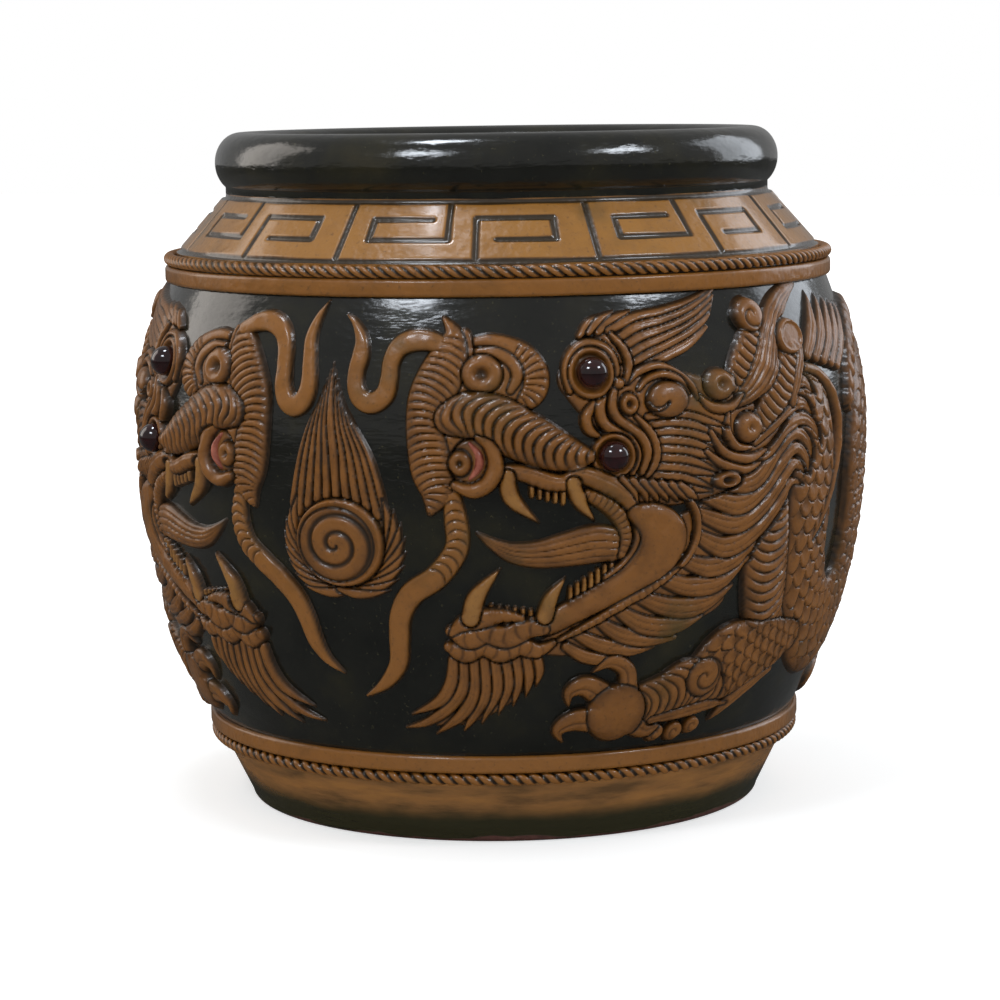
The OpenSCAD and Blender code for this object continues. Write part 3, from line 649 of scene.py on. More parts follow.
GROUND = ground_glaze()
RELIEF = amber_glaze("amber relief glaze", "#2d1e0f", "#472d0f", "#663e13", "#82511b")
BAND = amber_glaze("amber band glaze", "#2b1d0c", "#553510", "#714714", "#8a571c", 40, 0.55)
# The collar glaze is the band glaze painted lighter. This painted light stands in for the light from above on
# the upward-facing shoulder. Its heavier clear coat is real gloss.
SKYLIT_COLLAR = amber_glaze("thin amber collar glaze", "#35260f", "#5c3c15", "#7f531c", "#9a6825", 40, 0.85)
PALE = amber_glaze("pale amber tooth glaze", "#2e200f", "#543614", "#774c1d", "#93652b", 12)
FOOT = foot_glaze()
CLAY = bare_clay()
EYE = eye_glass()
RED = iron_red()

# The pot


def floor_disc():
    r = FOOT_R - WALL_T
    profile = [(0.5 * MM, 0)] + stretch((1 * MM, 0), (r, 0), 12 * MM) + [(r, 0), (r, FLOOR_T)]
    profile += stretch((r, FLOOR_T), (1 * MM, FLOOR_T), 12 * MM)[1:] + [(0.5 * MM, FLOOR_T)]
    place(mesh_object("floor_disc", [turned(profile)], CLAY, 40), "bare_clay", "floor_disc")


def foot_wall():
    inner = FOOT_TOP_R - WALL_T
    edge = arc((FOOT_R - FOOT_EDGE, FOOT_EDGE), (FOOT_EDGE, FOOT_EDGE), -90, 0, 8)
    outside = [(FOOT_R - WALL_T, 0)] + edge[:-1]
    outside += stretch(edge[-1], (FOOT_TOP_R, FOOT_SLOPE_H))
    outside += stretch((FOOT_TOP_R, FOOT_SLOPE_H), (FOOT_TOP_R, WALL_LOW_Z), 6 * MM)
    outside += [(FOOT_TOP_R, WALL_LOW_Z)]
    inside = [(inner, WALL_LOW_Z)]
    inside += stretch((inner, FOOT_SLOPE_H), (FOOT_R - WALL_T, FLOOR_T), 4 * MM)
    inside += [(FOOT_R - WALL_T, FLOOR_T)]
    wall = turned(outside + inside, [1.0] * len(outside) + [0.0] * len(inside))
    place(mesh_object("foot_wall", [wall], FOOT, 35), "foot_glaze", "foot_wall")


def belly_wall(name, z0, z1):
    z = np.linspace(z0, z1, 60)
    outer = list(zip(wall_r(z), z))
    inner = [(r - WALL_T, h) for r, h in outer[::-1]]
    wall = mesh_object(name, [turned(outer + inner, segments=480)], GROUND, 35)
    place(wall, "dark_glaze", name)


def fret_segments():
    """The incised lines of one repeat: start and end, as shares of the repeat's turn
    and of the fret's height."""
    return [
        ((0, 0), (0, 1)),
        ((0.43, 1), (0.43, 0.36)),
        ((0.43, 0.36), (0.11, 0.36)),
        ((0.11, 0.36), (0.11, 0.7)),
        ((0.11, 0.7), (0.36, 0.7)),
        ((0.54, 0), (0.54, 0.72)),
        ((0.54, 0.72), (0.85, 0.72)),
        ((0.85, 0.72), (0.85, 0.36)),
        ((0.85, 0.36), (0.62, 0.36)),
        ((0, 0), (1, 0)),
        ((0, 1), (1, 1)),
    ]


def shoulder_wall():
    """Sloping collar with the incised key fret."""
    segments, rows = 1250, 58
    lip_z = WALL_TOP_Z + LIP_H
    slope = np.array([NECK_R - LIP_R, NECK_Z - lip_z])
    length = np.linalg.norm(slope)
    out = np.array([slope[1], -slope[0]]) / length
    share = np.linspace(0, 1, rows)[None, :]
    turn = np.linspace(0, 360, segments, endpoint=False)[:, None]
    margin = FRET_MARGIN / (NECK_Z - lip_z)
    up = (share - margin) / (1 - 2 * margin)
    fret_length = length * (1 - 2 * margin)
    arc_length = np.radians(360 / FRET_COUNT) * (LIP_R + share * slope[0])
    drift = 0.35 * MM * wobble(turn / 5, 4 * share)
    unit = (turn - FRET_TURN) * FRET_COUNT / 360
    unit = unit - np.floor(unit)
    near = np.full((segments, rows), 1.0)
    for (a0, s0), (a1, s1) in fret_segments():
        for shift in (-1, 0, 1):
            dx = (unit - np.clip(unit, min(a0, a1) + shift, max(a0, a1) + shift)) * arc_length
            dy = (up - np.clip(up, min(s0, s1), max(s0, s1))) * fret_length
            near = np.minimum(near, np.hypot(dx, dy) + drift)
    hollow = np.clip(1 - (near / (0.9 * LINE_W)) ** 2, 0, 1)
    depth = LINE_DEPTH * hollow
    r = LIP_R + share * slope[0] - out[0] * depth
    z = lip_z + share * slope[1] - out[1] * depth + 0 * turn
    tone = np.clip((near - 0.72 * LINE_W) / (0.25 * LINE_W), 0, 1)
    before = [(LIP_R, WALL_TOP_Z), (LIP_R, WALL_TOP_Z + LIP_H / 2)]
    after = [
        (THROAT_R, NECK_Z),
        (LIP_R - WALL_T, lip_z - WALL_T),
        (LIP_R - WALL_T, WALL_TOP_Z),
    ]
    r = np.hstack([np.tile([p[0] for p in before], (segments, 1)), r,
                   np.tile([p[0] for p in after], (segments, 1))])
    z = np.hstack([np.tile([p[1] for p in before], (segments, 1)), z,
                   np.tile([p[1] for p in after], (segments, 1))])
    tone = np.hstack([np.full((segments, len(before)), 0.3), tone,
                      np.full((segments, len(after)), 0.5)])
    a = np.radians(turn)
    verts = np.stack([r * np.sin(a), -r * np.cos(a), z], axis=-1).reshape(-1, 3)
    quads = loop_quads(segments, r.shape[1], close_rows=True)
    wall = part(verts, quads, NO_TRIANGLES, tone.ravel())
    # The collar wears the band glaze painted lighter for the light from above
    place(mesh_object("shoulder_wall", [wall], SKYLIT_COLLAR, 50), "band_glaze", "shoulder_wall")


def rim_roll():
    half = ((RIM_R - THROAT_R) / 2, (TOP_Z - NECK_Z) / 2)
    centre = (THROAT_R + half[0], NECK_Z + half[1])
    seat = -math.degrees(math.acos((NECK_R - centre[0]) / half[0]))
    profile = [(THROAT_R, NECK_Z), (NECK_R, NECK_Z)] + arc(centre, half, seat, 180, 56)
    place(mesh_object("rim_roll", [turned(profile, segments=480)], GROUND, 50), "dark_glaze",
          "rim_roll")


def plain_band(name, inner_r, outer_r, z0, z1):
    corner = (BAND_ROUND, BAND_ROUND)
    profile = [(inner_r, z0)]
    profile += arc((outer_r - BAND_ROUND, z0 + BAND_ROUND), corner, -90, 0)
    profile += arc((outer_r - BAND_ROUND, z1 - BAND_ROUND), corner, 0, 90)
    profile += [(inner_r, z1)]
    tone = [0.2 + 0.8 * (r - inner_r) / (outer_r - inner_r) for r, z in profile]
    place(mesh_object(name, [turned(profile, tone)], BAND, 50), "band_glaze", name)


def rope_tree():
    """A coil pressed into a rope: a ring of clay with slanting cuts wound round it."""
    tree = bpy.data.node_groups.new("pressed rope", "GeometryNodeTree")
    face = tree.interface
    face.new_socket("Geometry", in_out="INPUT", socket_type="NodeSocketGeometry")
    for name, kind in (
        ("Radius", "NodeSocketFloat"), ("Height", "NodeSocketFloat"), ("Thickness", "NodeSocketFloat"),
        ("Cuts", "NodeSocketInt"), ("Twist", "NodeSocketInt"), ("Depth", "NodeSocketFloat"),
        ("Finish", "NodeSocketMaterial"),
    ):
        face.new_socket(name, in_out="INPUT", socket_type=kind)
    face.new_socket("Geometry", in_out="OUTPUT", socket_type="NodeSocketGeometry")
    given = tree.nodes.new("NodeGroupInput").outputs

    def math_of(operation, *values):
        sockets = {f"in_{i}": value for i, value in enumerate(values)}
        return add(tree, "ShaderNodeMath", {"operation": operation}, **sockets).outputs[0]

    steps = math_of("MULTIPLY", given["Cuts"], 14.0)
    circle = add(tree, "GeometryNodeCurvePrimitiveCircle", Resolution=steps, Radius=given["Radius"])
    lift = add(tree, "ShaderNodeCombineXYZ", Z=given["Height"]).outputs[0]
    path = add(tree, "GeometryNodeTransform", Geometry=circle.outputs["Curve"], Translation=lift)
    half = math_of("MULTIPLY", given["Thickness"], 0.5)
    section = add(tree, "GeometryNodeCurvePrimitiveCircle", Resolution=20, Radius=half)
    coil = add(tree, "GeometryNodeCurveToMesh", in_0=path.outputs[0], in_1=section.outputs["Curve"])
    x, y, z = add(tree, "ShaderNodeSeparateXYZ", in_0=add(tree, "GeometryNodeInputPosition").outputs[0]).outputs
    away = math_of("SQRT", math_of("ADD", math_of("MULTIPLY", x, x), math_of("MULTIPLY", y, y)))
    round_jar = math_of("MULTIPLY", math_of("ARCTAN2", y, x), given["Cuts"])
    round_coil = math_of("ARCTAN2", math_of("SUBTRACT", z, given["Height"]),
                         math_of("SUBTRACT", away, given["Radius"]))
    phase = math_of("ADD", round_jar, math_of("MULTIPLY", round_coil, given["Twist"]))
    wave = math_of("MULTIPLY_ADD", math_of("COSINE", phase), 0.5, 0.5)
    cut = math_of("MULTIPLY", math_of("POWER", wave, 2.0), math_of("MULTIPLY", given["Depth"], -1.0))
    inward = add(tree, "ShaderNodeVectorMath", {"operation": "SCALE"},
                 in_0=add(tree, "GeometryNodeInputNormal").outputs[0], Scale=cut)
    pressed = add(tree, "GeometryNodeSetPosition", Geometry=coil.outputs[0], Offset=inward.outputs[0])
    real = add(tree, "GeometryNodeRealizeInstances", in_0=pressed.outputs[0])
    smooth = add(tree, "GeometryNodeSetShadeSmooth", Geometry=real.outputs[0])
    painted = add(tree, "GeometryNodeSetMaterial", Geometry=smooth.outputs[0],
                  Material=given["Finish"])
    add(tree, "NodeGroupOutput", in_0=painted.outputs[0])
    return tree


def grown(name, host, tree, values):
    """The mesh that a tree makes on a host object, as a plain object."""
    modifier = host.modifiers.new("grown", "NODES")
    modifier.node_group = tree
    sockets = {s.name: s.identifier for s in tree.interface.items_tree if s.in_out == "INPUT"}
    for key, value in values.items():
        modifier[sockets[key]] = value
    bpy.context.view_layer.update()
    graph = bpy.context.evaluated_depsgraph_get()
    mesh = bpy.data.meshes.new_from_object(host.evaluated_get(graph))
    host.modifiers.remove(modifier)
    bpy.data.objects.remove(host)
    mesh.name = name
    thing = bpy.data.objects.new(name, mesh)
    bpy.context.scene.collection.objects.link(thing)
    return thing


def empty_host():
    host = bpy.data.objects.new("host", bpy.data.meshes.new("host"))
    bpy.context.scene.collection.objects.link(host)
    return host


def rope_band(tree, name, band, cuts, twist):
    outer, z0, z1 = band
    thickness = z1 - z0
    rope = grown(name, empty_host(), tree, {
        "Radius": outer - thickness / 2,
        "Height": (z0 + z1) / 2,
        "Thickness": thickness * 0.98,
        "Cuts": cuts,
        "Twist": twist,
        "Depth": thickness * 0.18,
        "Finish": BAND,
    })
    mesh = rope.data
    points = np.empty(len(mesh.vertices) * 3)
    mesh.vertices.foreach_get("co", points)
    points = points.reshape(-1, 3)
    radius = np.hypot(points[:, 0], points[:, 1])
    out = np.hypot(radius - (outer - thickness / 2), points[:, 2] - (z0 + z1) / 2)
    tone = np.clip((out / (thickness / 2) - 0.72) / 0.14, 0, 1)
    mesh.attributes.new("tone", "FLOAT", "POINT").data.foreach_set("value", tone)
    place(rope, "band_glaze", name)


# The pearl


def pearl(clay):
    clay.piece("pearl_flames")
    clay.stroke([(0.2, 24, 4), (0.1, 28, 3.2), (-0.1, 31, 1.7), (-0.3, 34.6, 0.4)], 2.6)
    for s in (-1, 1, -0.8, 0.8, -0.6, 0.6, -0.4, 0.4, -0.2, 0.2, 0):
        clay.stroke([
            (0.2 + 3.9 * s, 26.9 - 2.2 * s * s, 0.36),
            (0.1 + 2.8 * s, 29.8 - 0.7 * s * s, 0.4),
            (-0.2 + 1.75 * s, 32.5 - 0.8 * abs(s), 0.32),
            (-0.3 + 1.1 * s, 36.4 - 2.9 * abs(s), 0.06),
        ], 5, lines([0.1], 0.7, 0.6))
    for way in (-1, 1):
        for turn in range(95, -8, -13):
            tongue = []
            for lead, r, half in ((-10, 3.5, 0.3), (8, 3.9, 0.42), (26, 4.35, 0.3), (42, 4.95, 0.05)):
                a = math.radians(turn + lead)
                tongue.append((0.35 + way * r * math.sin(a), 23.3 - 0.96 * r * math.cos(a), half))
            clay.stroke(tongue, 5)
    clay.piece("pearl")
    clay.boss(0.3, 23.4, 3.5, 3.3, 8, ring(0.92, 0.1, 0.75))
    clay.boss(0.1, 23.3, 2.95, 2.75, 8.8, spiral(2.2, 2.4, way=-1, width=0.075))


# The dragons. Each function lays a part of the right-hand dragon, back to front


def right_whiskers(clay):
    clay.stroke([(8.6, 37.5, 0.6), (7.1, 38, 0.76), (5.8, 38, 0.82), (4.8, 37.5, 0.76),
                 (4.3, 36.5, 0.7), (4.2, 35.4, 0.7), (3.9, 34.2, 0.76), (3, 33.6, 0.8),
                 (2.1, 33.9, 0.76), (1.65, 34.8, 0.7), (1.65, 35.9, 0.68), (1.9, 37, 0.7),
                 (1.85, 38.1, 0.55), (1.2, 39.2, 0.3), (0.4, 39.8, 0.08)], 6, soft=3.5)
    clay.stroke([(8.7, 27.4, 0.6), (9, 25.2, 0.85), (9, 23.2, 0.88), (7.6, 21.2, 0.92),
                 (5.6, 19.8, 0.92), (4.6, 18.2, 0.86), (4.3, 16.4, 0.84), (4, 14.4, 0.75),
                 (2.7, 12.8, 0.5), (0.9, 11.7, 0.12)], 6, ribs(7, 1.8, 0.6, upto=0.34), soft=3.5)


def left_whiskers(clay):
    clay.stroke([(9, 38.6, 0.6), (7.5, 39.1, 0.74), (6.2, 39.1, 0.8), (5.1, 38.5, 0.76),
                 (4.6, 37.4, 0.7), (4.5, 36.1, 0.68), (4.45, 34.8, 0.74), (4.1, 33.7, 0.8),
                 (3.4, 33.2, 0.82), (2.7, 33.5, 0.78), (2.3, 34.3, 0.72), (2.2, 35.3, 0.66),
                 (2.3, 36.6, 0.6), (2.4, 38.1, 0.52), (2, 39.5, 0.35), (1.3, 40.7, 0.08)], 6,
                soft=3.5)
    clay.stroke([(8.3, 27.2, 0.6), (8.7, 24.8, 0.8), (8.2, 22.9, 0.85), (6.8, 21.6, 0.86),
                 (5.3, 20.4, 0.85), (4, 19, 0.82), (3.3, 17.4, 0.78), (2.9, 15.8, 0.7),
                 (2.1, 14.4, 0.45), (0.8, 13.4, 0.1)], 6, ribs(7, 1.8, 0.6, upto=0.35), soft=3.5)


BODY = [(38.1, 34, 1.2), (39.4, 32, 2.3), (39.8, 28.5, 2.8), (39.3, 24.5, 3.1), (39.1, 20.4, 3.3),
        (40.8, 16.3, 3.5), (44.6, 14.2, 3.8), (48.6, 16.4, 4), (50.3, 21.2, 4.2), (50.4, 26.6, 4.1),
        (52.2, 31, 3.9), (56.4, 33.4, 3.7), (60.4, 31, 3.5), (62.2, 26.4, 3.3), (63.8, 21.8, 3.1),
        (67.4, 18.6, 2.9), (71.8, 18.8, 2.6), (74.6, 22.2, 2.3), (76.6, 26, 1.9), (79.8, 28.2, 1.6),
        (82.8, 26.8, 1.2), (84, 24, 0.8)]


def hind_part(clay):
    """Tail, back fin, body and hind leg."""
    clay.piece("tail_tuft")
    for i in (-2, 2, -1, 1, 0):
        clay.stroke([
            (84 + 0.62 * i, 23.4 - 0.2 * i * i, 0.4),
            (84.2 + 0.85 * i, 20.4 - 0.1 * i * i, 0.52),
            (84.6 + 0.9 * i, 18 + 0.2 * i * i, 0.1),
        ], 6, lines([-0.4, 0.3], 1, 0.7))
    clay.piece("back_fin")
    for line in (
        [(46.8, 31.2, 0.7), (49.2, 35, 1.2), (53, 37.6, 1.3), (57, 38, 1.3), (61, 36.6, 1.2),
         (64.2, 33.6, 1.2), (66.2, 30, 1.1), (67.4, 26.2, 0.9), (69.2, 22.8, 0.5)],
        [(71, 23.2, 0.5), (72.4, 26.4, 0.9), (74.8, 29.2, 1), (78, 30.6, 1),
         (81.2, 30.2, 0.8), (84.2, 27.8, 0.4)],
    ):
        clay.stroke(line, 8, ribs(12, 1.6, 0.5), lobes=(12, 0.6))
    clay.piece("body")
    clay.stroke(BODY, 10, scales(12, 14.5), soft=14)
    clay.piece("back_fin")
    clay.stroke([(38.3, 34.9, 0.4), (40.2, 34.4, 0.5), (42, 33, 0.55), (43, 31, 0.55),
                 (43, 28.6, 0.5), (42, 25.6, 0.45), (40.4, 23, 0.35), (39.3, 21.8, 0.15)], 8.6)
    clay.piece("hind_leg")
    clay.stroke([(57, 28.6, 1.6), (56.9, 25.6, 2.1), (57, 22.4, 2.1), (57.4, 19.2, 1.8),
                 (57.2, 16.6, 1.5)], 11, scales(10, 12), soft=9)
    clay.stroke([(57.2, 14.6, 1.3), (57.6, 12.6, 1.2), (57.8, 11, 1.2)], 9.5, ribs(7, 1.6, 0.5))
    clay.boss(57, 15.4, 1.8, 1.7, 11, spiral(1.6, 1.8, width=0.1))
    paw(clay, 57.8, 9.8)


def neck(clay):
    """Neck plates, mane and nape flames, from the far ones to the near ones."""
    clay.piece("neck_scutes")
    clay.stroke([(34.4, 26, 1.3), (34, 23.6, 2.1), (33.9, 20.8, 2.3), (34.2, 18.4, 2.3),
                 (34.9, 16.2, 2), (36.4, 14.7, 1.5)], 9.4, ribs(7.6, 2.2, -0.5, 4), soft=8)
    clay.piece("mane")
    clay.stroke([(22, 21, 1.6), (26.6, 21.8, 3.4), (29.8, 23.6, 2.8), (32.4, 26, 1.8),
                 (34.8, 28.6, 1.2)], 4)
    clay.stroke([(15, 15.6, 0.5), (19, 16.6, 1.7), (24, 17.8, 2.2), (28.6, 19, 1.7)], 3.5)
    for line in (
        [(17, 15.7, 0.4), (18.6, 14.8, 0.55), (20.8, 14.5, 0.45), (22.6, 14.8, 0.12)],
        [(17.6, 16.7, 0.4), (19.6, 15.7, 0.6), (22, 15.2, 0.6), (24.2, 15.2, 0.15)],
        [(19.4, 17.5, 0.4), (21.2, 16.4, 0.66), (23.6, 15.9, 0.66), (25.8, 15.8, 0.3)],
        [(20.8, 18.3, 0.45), (23, 17, 0.76), (25.8, 16.7, 0.7), (28.2, 17.2, 0.14)],
        [(22.4, 19.2, 0.5), (25, 18.2, 0.8), (27.8, 18.1, 0.78), (30.8, 19.3, 0.14)],
        [(24, 20.5, 0.5), (26.6, 19.6, 0.8), (29.4, 19.8, 0.78), (32, 21.3, 0.14)],
        [(25.8, 21.7, 0.5), (28.2, 20.9, 0.8), (30.8, 21.6, 0.8), (33, 23.2, 0.16)],
        [(26.9, 23.4, 0.5), (29.4, 22.3, 0.84), (31.9, 23.1, 0.84), (34.2, 24.8, 0.7),
         (36.1, 26.4, 0.4), (37.4, 26.2, 0.1)],
        [(27, 25, 0.5), (30, 24, 0.84), (32.4, 24.8, 0.84), (34.6, 26.6, 0.74),
         (36.5, 27.8, 0.5), (37.8, 27, 0.12)],
        [(26.6, 26.8, 0.5), (30.2, 25.4, 0.84), (32.6, 26.3, 0.8), (34.7, 28.1, 0.74),
         (36.7, 29, 0.55), (38, 28, 0.4), (38.2, 26.9, 0.12)],
        [(28, 27, 0.4), (31.8, 27, 0.8), (34.4, 29.3, 0.78), (36.6, 30.1, 0.6),
         (38.2, 29.2, 0.45), (38.7, 27.9, 0.12)],
        [(30.4, 28.6, 0.5), (33, 29.2, 0.8), (35.2, 30.7, 0.76), (37.6, 31.1, 0.55),
         (39.2, 30.2, 0.4), (39.7, 28.9, 0.12)],
    ):
        clay.stroke(line, 7, lines([-0.38, 0.28], 1, 0.7))
    for i in (4, 3, 2, 1, 0):
        clay.stroke([
            (39.6 + 1.3 * i, 35.8 - 0.3 * i, 0.6),
            (41.2 + 1.5 * i, 37.8 - 0.3 * i, 0.72),
            (42.2 + 1.8 * i, 40.2 - 0.3 * i, 0.1),
        ], 6, lines([-0.4, 0.3], 1, 0.7))


def foreleg(clay):
    clay.piece("foreleg")
    clay.stroke([(38.4, 14.2, 1.5), (36.2, 13.8, 2.3), (33.8, 13.4, 2.8), (31.6, 13.3, 3.1),
                 (29.8, 12.4, 2.5)], 10.6, scales(9.5, 11.5), soft=8)
    clay.stroke([(37.4, 11.9, 0.3), (35, 11, 0.55), (32.8, 9.9, 0.6), (31.4, 8.7, 0.15)], 7.6,
                lines([0], 1))
    clay.stroke([(29.8, 11.4, 1.5), (27.8, 11.9, 2.1), (25.8, 11.2, 1.9), (23.6, 10.6, 1.8)], 9.4,
                ribs(8, 2, 0.8), soft=6)
    clay.boss(29, 12.4, 1.7, 1.55, 10.6, spiral(1.3, 1.8, width=0.09))
    clay.stroke([(24.8, 9.3, 0.4), (27.4, 9.6, 0.55), (30, 9.9, 0.55), (32.4, 9.9, 0.15)], 8,
                lines([0], 1))
    for column, row, r in ((29.2, 8.5, 0.85), (27.4, 8.2, 0.95), (25.5, 8.3, 0.9)):
        clay.boss(column, row, r, 0.9 * r, 7.6, spiral(1.1, 1.4, width=0.14))
    clay.piece("claws")
    clay.stroke([(22.3, 12, 0.9), (22, 13.6, 0.72), (20.6, 14.3, 0.55), (19.3, 13.6, 0.12)], 8.6,
                lines([0.2], 1.2))
    paw(clay, 21.6, 10.4)


def paw(clay, column, row):
    """Paw boss with three of its fingers, each ending in a hooked claw."""
    clay.piece("claws")
    for finger in (
        [(1.2, -1.0, 0.9), (2.8, -1.9, 0.6), (4.1, -1.5, 0.12)],
        [(-1, 1, 1.1), (-2.8, 2.1, 0.85), (-4.1, 1.7, 0.55), (-4.1, 0.6, 0.12)],
        [(-1, -0.8, 1.1), (-3.4, -0.6, 0.9), (-4.9, -1.3, 0.55), (-4.4, -2.3, 0.12)],
    ):
        clay.stroke([(column + c, row + r, w) for c, r, w in finger], 8.4, lines([0.2], 1.2))
    clay.boss(column - 0.1, row - 0.2, 2.55, 2.35, 9)


def head(clay):
    """Skull, ear, horn and brow, which the face is laid over."""
    clay.piece("forehead")
    clay.stroke([(17.9, 35.2, 1.5), (20.8, 33.6, 2.6), (24.6, 32.6, 3), (28.5, 31.5, 3),
                 (32, 30.8, 1.9), (34.6, 31.8, 1.2), (36.6, 33, 0.6)], 4.6, soft=8)
    clay.piece("mane")
    for line in (
        [(32.2, 29.9, 0.4), (34, 31.1, 0.7), (36, 32.1, 0.7), (37.8, 32.2, 0.5), (39, 31.2, 0.12)],
        [(33.4, 31.3, 0.4), (35.2, 32.5, 0.6), (36.8, 33.6, 0.6), (38.2, 33.8, 0.5),
         (39.4, 32.8, 0.12)],
    ):
        clay.stroke(line, 6.4, lines([-0.3, 0.3], 0.9, 0.7))
    clay.piece("forehead")
    clay.stroke([(20, 28.4, 1.3), (23, 28, 2.2), (26.6, 27.9, 2), (29.8, 27.8, 1.2)], 4.6, soft=8)
    clay.piece("horn")
    clay.stroke([(32.6, 31.2, 0.8), (34.4, 33, 1.3), (36, 34.8, 1.4), (37.1, 36, 1)], 8.4,
                ribs(7, 2.2, 0.2, 5))
    clay.stroke([(30.4, 34.2, 0.7), (31.4, 35.6, 1.1), (32.5, 37, 1.1), (33.3, 38.1, 0.7)], 8.4,
                ribs(7, 2.2, 0.2, 5))
    clay.stroke([(36.4, 32.4, 0.4), (37.4, 34.4, 0.55), (38.2, 36, 0.5), (38.5, 37.4, 0.2)], 7.6,
                lines([0], 1))
    clay.stroke([(30.4, 32.8, 0.4), (32.1, 33.8, 1), (33.6, 35.3, 1.35), (34.6, 37.2, 1.1),
                 (36.1, 39.1, 1), (38.2, 40.3, 0.65), (40.4, 40.9, 0.2)], 9,
                lines([-0.6, -0.2, 0.2, 0.6], 1.3, 0.7))
    clay.stroke([(27.2, 33.5, 0.2), (28.2, 32.7, 0.4), (29.8, 32.6, 0.4), (31, 33.4, 0.2)], 7.6)
    clay.boss(29, 34.3, 1.4, 1.2, 9.8, ring(0.5, 0.45, 0.5))
    clay.stroke([(29.6, 32.1, 0.2), (29.4, 30.8, 0.38), (30.2, 29.7, 0.4), (31.6, 29.5, 0.2)], 7.6)
    clay.boss(31.4, 31, 1.3, 1.2, 9.8, ring(0.45, 0.5, 0.5))
    clay.boss(33, 39.1, 1.5, 1.3, 9.8, spiral(1.1, 1.8, width=0.1))
    clay.boss(36.9, 37.3, 1.65, 1.4, 10, ring(0.8, 0.22, 0.8))
    clay.piece("brow_tufts")
    clay.stroke([(20, 37.4, 1), (22.8, 37.7, 1.8), (25.8, 38.3, 1.5), (28.2, 39.5, 1.1), (29.8, 40.6, 0.4)], 4)
    for line in (
        [(18.2, 38.2, 0.28), (18.9, 39, 0.34), (19.9, 39.6, 0.1)],
        [(18.9, 38.4, 0.28), (19.8, 39.2, 0.36), (21, 39.8, 0.1)],
        [(19.6, 38.4, 0.28), (20.8, 39.2, 0.38), (22.4, 39.8, 0.1)],
        [(20.4, 38.5, 0.3), (22.4, 39.2, 0.44), (25, 39.6, 0.44), (27.6, 40.1, 0.42), (30.4, 41.2, 0.1)],
        [(20.9, 37.8, 0.3), (22.6, 38.6, 0.46), (25, 39, 0.46), (27.6, 39.7, 0.44), (30.2, 41, 0.12)],
        [(21.3, 37.2, 0.3), (22.8, 37.9, 0.46), (25, 38.4, 0.46), (27.6, 39.2, 0.44), (30, 40.6, 0.14)],
        [(21.6, 36.6, 0.3), (23, 37.2, 0.46), (25, 37.8, 0.46), (27.4, 38.6, 0.44), (29.6, 40, 0.16)],
        [(21.8, 36, 0.3), (23.2, 36.6, 0.44), (25, 37.2, 0.46), (27.1, 38, 0.44), (29.2, 39.3, 0.18)],
        [(22, 35.5, 0.3), (23.4, 36, 0.42), (25, 36.6, 0.44), (26.8, 37.3, 0.42), (28.7, 38.4, 0.2)],
    ):
        clay.stroke(line, 6, lines([0.25], 0.8, 0.7))
    for i in range(9):
        wave = 0.3 * (i % 2)
        clay.stroke([
            (22.9 + 0.14 * i * (4 - i) / 2, 32.3 - 0.6 * i, 0.3),
            (24.8 - 0.02 * i * i, 32.4 - 0.63 * i, 0.38),
            (26.8 - 0.02 * i * i, 32 - 0.62 * i, 0.38),
            (29.4 - 0.02 * i * i - wave, 31.2 - 0.58 * i - wave, 0.1),
        ], 6, lines([0.2], 0.8, 0.7))
    clay.piece("forehead")
    clay.stroke([(28, 30.9, 0.25), (29.2, 29.3, 0.4), (31.4, 28.7, 0.42), (33.2, 29.2, 0.15)], 6.8)
    clay.stroke([(27.6, 29.5, 0.25), (29, 28.5, 0.4), (31, 27.9, 0.4), (32.6, 28.3, 0.15)], 6.6)
    clay.boss(29.4, 27.3, 1.35, 0.68, 8, ring(0.62, 0.34))
    for line in (
        [(21.5, 34.8, 0.2), (22.3, 35.5, 0.32), (23.8, 35.9, 0.34), (25.3, 35.4, 0.34),
         (26.5, 34.4, 0.3), (27, 33.4, 0.15)],
        [(22.3, 34.3, 0.2), (23, 35, 0.3), (24.3, 35.3, 0.32), (25.5, 34.8, 0.32), (26.3, 33.8, 0.15)],
    ):
        clay.stroke(line, 8)
    clay.boss(24.5, 33.5, 1.7, 1.35, 11.5)
    clay.stroke([(24.3, 33.3, 0.1), (23.8, 32.9, 0.14), (23.2, 32.9, 0.14), (22.9, 33.3, 0.1)], 11)


def eyes(clay):
    """Eyelids and the folds between them. The balls are made apart."""
    clay.piece("eyelids")
    for line, crest in (
        ([(20.6, 38.2, 0.25), (21.4, 37.2, 0.34), (21.7, 36, 0.34), (21.3, 34.8, 0.2)], 7),
        ([(17.2, 34.4, 0.3), (17, 35.8, 0.4), (17.5, 37, 0.44), (18.7, 37.6, 0.46),
          (20, 37.2, 0.46), (20.6, 36, 0.46), (20.3, 34.6, 0.34)], 7.4),
        ([(22, 32.4, 0.2), (22.9, 31.4, 0.34), (23.4, 30.2, 0.38), (23.3, 29, 0.36),
          (22.6, 27.9, 0.2)], 7.4),
        ([(20.4, 34.3, 0.34), (20.2, 33.2, 0.42), (20.6, 32.3, 0.42), (21.5, 31.6, 0.42),
          (22.4, 30.8, 0.42), (22.7, 29.7, 0.42), (22.3, 28.4, 0.3)], 8.4),
        ([(18.9, 33.4, 0.3), (18.3, 32.5, 0.42), (18.5, 31.6, 0.42), (19.2, 31.1, 0.22)], 8.8),
        ([(19.6, 34, 0.32), (19.3, 33, 0.44), (19.6, 32, 0.44), (20.5, 31.3, 0.44),
          (21.5, 30.6, 0.44), (21.9, 29.6, 0.42), (21.6, 28.4, 0.26)], 9.2),
    ):
        clay.stroke(line, crest)
    clay.boss(21.5, 33.3, 0.75, 0.85, 8.6, ring(0.6, 0.35))
    clay.boss(20.8, 34.8, 0.5, 0.45, 8.4)
    clay.boss(18.8, 35.6, 1.75, 1.9, 7.4, ring(0.86, 0.17, 0.25))
    clay.boss(20.2, 29.65, 1.68, 1.72, 7.4, ring(0.86, 0.17, 0.25))


